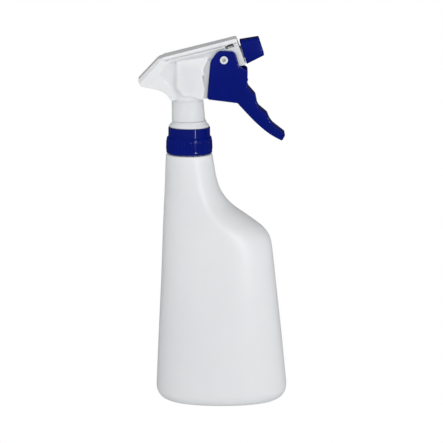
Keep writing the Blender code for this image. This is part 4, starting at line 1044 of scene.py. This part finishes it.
def make_lever():
    outline = [
        (15.7, 256.3, 7.0), (21.2, 264.2, 5.0), (33.6, 263.8, 4.0), (36.9, 252.3, 1.0), *FINGER_SIDE,
        (68.3, 197.0, 1.0), (58.0, 202.8, 60.0), (47.5, 212.4, 60.0), (35.4, 225.5), (13.2, 228.3, 2.0),
    ]
    lever = waisted(prism("lever", outline, LEVER_HALF, 0.85, segments=8, rim_segments=4), LEVER_HALF)
    inner = [(x - LEVER_FRONT, z, r) for x, z, r in FINGER_SIDE[:-1]]
    ledge = FINGER_SIDE[0][1] - 0.6
    tip_x, tip_z = FINGER_SIDE[-1][0] - LEVER_FRONT, FINGER_SIDE[-1][1]
    channel = [
        (0, 280), (60, 280), (60, ledge), (inner[0][0], ledge), *inner[1:], (tip_x - 1, tip_z - 1),
        (tip_x - 4, tip_z - 10), (0, tip_z - 10),
    ]
    inside = LEVER_HALF - LEVER_WALL
    dimples = bmesh.new()
    for side in (-1, 1):
        tip = neck_mm(DIMPLE_X, 200.8) + Vector((0, side * DIMPLE_Y * MM, 0))
        bmesh.ops.create_uvsphere(
            dimples, u_segments=24, v_segments=16, radius=DIMPLE_R * MM, matrix=Matrix.Translation(tip)
        )
    cuts = [
        make_object(dimples, "dimples"),
        waisted(prism("channel", channel, inside, segments=8), inside),
        rod("pivot_hole", PIVOT_R + 0.12, -15, 15, ACROSS_PIVOT),
    ]
    combine(lever, cuts, "DIFFERENCE")
    pusher = box("pusher", (-5.15, -2.5, -21.5), (-2.9, 2.5, -13.5), IN_PUMP, 0.4)
    beads = []
    for side in (-1, 1):
        middle = Matrix.Translation(neck_mm(38.9, 0) + Vector((0, side * (LEVER_HALF - BEAD_R) * MM, 0)))
        beads.append(rod("bead", BEAD_R, 242.6, 247.4, middle, 32))
    return combine(lever, [pusher, *beads], "UNION")


lever = make_lever()
finish_piece(lever, "trigger", BLUE, ["trigger"], 35.0)

# %% [markdown]
# ## The nozzle
# A square cap that turns on the barrel. Its sides taper to the front, its corners are rounded so that it
# clears the lever as it turns, and the spray hole sits in a shallow dish.

# %% Nozzle
NOZZLE_LENGTH, NOZZLE_BACK_SIDE, NOZZLE_FRONT_SIDE = 14.1, 17.6, 13.8


def make_nozzle():
    bm = bmesh.new()
    bmesh.ops.create_cone(
        bm, cap_ends=True, segments=4, radius1=NOZZLE_BACK_SIDE / math.sqrt(2) * MM,
        radius2=NOZZLE_FRONT_SIDE / math.sqrt(2) * MM, depth=NOZZLE_LENGTH * MM,
        matrix=Matrix.Translation((0, 0, NOZZLE_LENGTH / 2 * MM)) @ Matrix.Rotation(math.pi / 4, 4, "Z"),
    )
    sides = [edge for edge in bm.edges if abs(edge.verts[0].co.z - edge.verts[1].co.z) > 5 * MM]
    bmesh.ops.bevel(bm, geom=sides, offset=2.2 * MM, segments=6, profile=0.5, affect="EDGES", material=-1)
    front = [edge for edge in bm.edges if min(point.co.z for point in edge.verts) > (NOZZLE_LENGTH - 1) * MM]
    bmesh.ops.bevel(bm, geom=front, offset=0.8 * MM, segments=4, profile=0.5, affect="EDGES", material=-1)
    back = [edge for edge in bm.edges if max(point.co.z for point in edge.verts) < 0.1 * MM]
    bmesh.ops.bevel(bm, geom=back, offset=0.3 * MM, segments=2, profile=0.5, affect="EDGES", material=-1)
    bmesh.ops.transform(bm, matrix=ALONG_SPRAY, verts=bm.verts)
    nozzle = make_object(bm, "nozzle_shell")
    floor = BARREL_FRONT + 1.35
    cuts = [
        rod("skirt_bore", NOZZLE_BACK_SIDE / 2 - 1.6, -1, 5, ALONG_SPRAY),
        rod("socket", BARREL_R + 0.35, 0, floor, ALONG_SPRAY),
        rod("groove", BARREL_R + 0.75, 5.65, 7.35, ALONG_SPRAY),
        rod("orifice", 0.4, BARREL_FRONT, NOZZLE_LENGTH + 1, ALONG_SPRAY, 32),
        rod("dish", 2.6, NOZZLE_LENGTH - 1, NOZZLE_LENGTH + 1, ALONG_SPRAY),
    ]
    return combine(nozzle, cuts, "DIFFERENCE")


nozzle = make_nozzle()
finish_piece(nozzle, "nozzle", BLUE, ["nozzle_cap"], 30.0)

# %% [markdown]
# ## The pieces inside
# The pump's own pieces keep their plain solids, because the head and the bottle hide them. Each still gets its
# real finish: white and clear plastics, soft seals, and steel for the springs and the ball.

# %% Finishes of the plain pieces
FINISHES = {
    "white_plastic": WHITE, "clear_plastic": CLEAR, "soft_seal": SEAL, "stainless_steel": STEEL,
    "blue_plastic": BLUE, "natural_polyethylene": MILKY,
}
for name, node in frame["nodes"].items():
    if not node.hide_render:
        node.data.materials.clear()
        node.data.materials.append(FINISHES[SLOTS[name]])
        print(name, "is", SLOTS[name])

# %% [markdown]
# ## Stage and light
# The bottle stands on a white table in front of white paper. Both glow, and Light Path makes them white to the
# camera while they light the bottle with less, so a white object still stands out from its white ground. In a
# gloss they count for even less, because blue plastic that mirrors white paper would look grey.


# %% Stage
FLOOR_LIGHT, GLOSS_SHARE = 0.83, 0.05


def seen_white(tree, light, gloss_share):
    """White to the camera, the given light to everything else, and only a share of it in a gloss."""
    path = tree.nodes.new("ShaderNodeLightPath")
    loss = math_node(tree, "MULTIPLY", path.outputs["Is Glossy Ray"], 1.0 - gloss_share)
    kept = math_node(tree, "MULTIPLY", light, math_node(tree, "SUBTRACT", 1.0, loss))
    return math_node(tree, "MAXIMUM", kept, path.outputs["Is Camera Ray"])


def make_floor():
    bm = bmesh.new()
    bmesh.ops.create_circle(bm, cap_ends=True, segments=64, radius=3.0)
    floor = make_object(bm, "table_top")
    paper = bpy.data.materials.new("white_table")
    paper.use_nodes = True
    tree = paper.node_tree
    shader = tree.nodes["Principled BSDF"]
    shader.inputs["Base Color"].default_value = (0, 0, 0, 1)
    shader.inputs["Specular IOR Level"].default_value = 0.0
    shader.inputs["Emission Color"].default_value = (1, 1, 1, 1)
    tree.links.new(seen_white(tree, FLOOR_LIGHT, GLOSS_SHARE), shader.inputs["Emission Strength"])
    floor.data.materials.append(paper)
    floor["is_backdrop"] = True
    return floor


make_floor()
print("the table gives", FLOOR_LIGHT, "of white")

# %% [markdown]
# White plastic shows its shape only by how its sides turn to the light. So the sky's strength is a straight
# line in each direction: brightest in front, slightly more on the right, and less from above. Two small lamps
# in front on the right add the bright spots on the blue pieces.

# %% Sky and lamps
SKY_MEAN, SKY_FRONT, SKY_RIGHT, SKY_TOP = 0.94, 0.50, 0.08, -0.29


def make_sky():
    """Light that changes evenly with direction: its mean, and its gain towards the front, right and top."""
    world = bpy.data.worlds.new("studio")
    scene.world = world
    world.use_nodes = True
    tree = world.node_tree
    where = tree.nodes.new("ShaderNodeTexCoord")
    split = tree.nodes.new("ShaderNodeSeparateXYZ")
    tree.links.new(where.outputs["Generated"], split.inputs["Vector"])
    light = math_node(tree, "MULTIPLY_ADD", split.outputs["Y"], -SKY_FRONT, SKY_MEAN)
    light = math_node(tree, "MULTIPLY_ADD", split.outputs["X"], SKY_RIGHT, light)
    light = math_node(tree, "MULTIPLY_ADD", split.outputs["Z"], SKY_TOP, light)
    strength = seen_white(tree, math_node(tree, "MAXIMUM", light, 0.02), GLOSS_SHARE)
    tree.links.new(strength, tree.nodes["Background"].inputs["Strength"])
    tree.nodes["Background"].inputs["Color"].default_value = (1, 1, 1, 1)
    return world


def add_lamp(name, location, target, size, power):
    lamp = bpy.data.lights.new(name, "AREA")
    lamp.shape = "RECTANGLE"
    lamp.size, lamp.size_y = size
    lamp.energy = power
    stand = bpy.data.objects.new(name, lamp)
    scene.collection.objects.link(stand)
    stand.location = location
    stand.rotation_euler = (Vector(target) - Vector(location)).to_track_quat("-Z", "Y").to_euler()
    return stand


make_sky()
add_lamp("key", (0.9, -1.3, 0.75), (0, 0, 0.15), (0.16, 0.16), 2.2)
add_lamp("strip", (0.95, -1.45, 0.22), (0, 0, 0.22), (0.05, 0.40), 1.6)
scene.view_settings.view_transform = "Standard"
print("lamps:", [lamp.name for lamp in bpy.data.lights])

# %% [markdown]
# ## The sizes, and the end
# The shown pieces are meant to fill the same box as the imported model, so both boxes are printed.

# %% Sizes
boxes = {"cad": [list(corner) for corner in cad_box], "shown": [list(corner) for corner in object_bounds()]}
for label, (low, high) in boxes.items():
    print(label, [round(b - a, 5) for a, b in zip(low, high)])
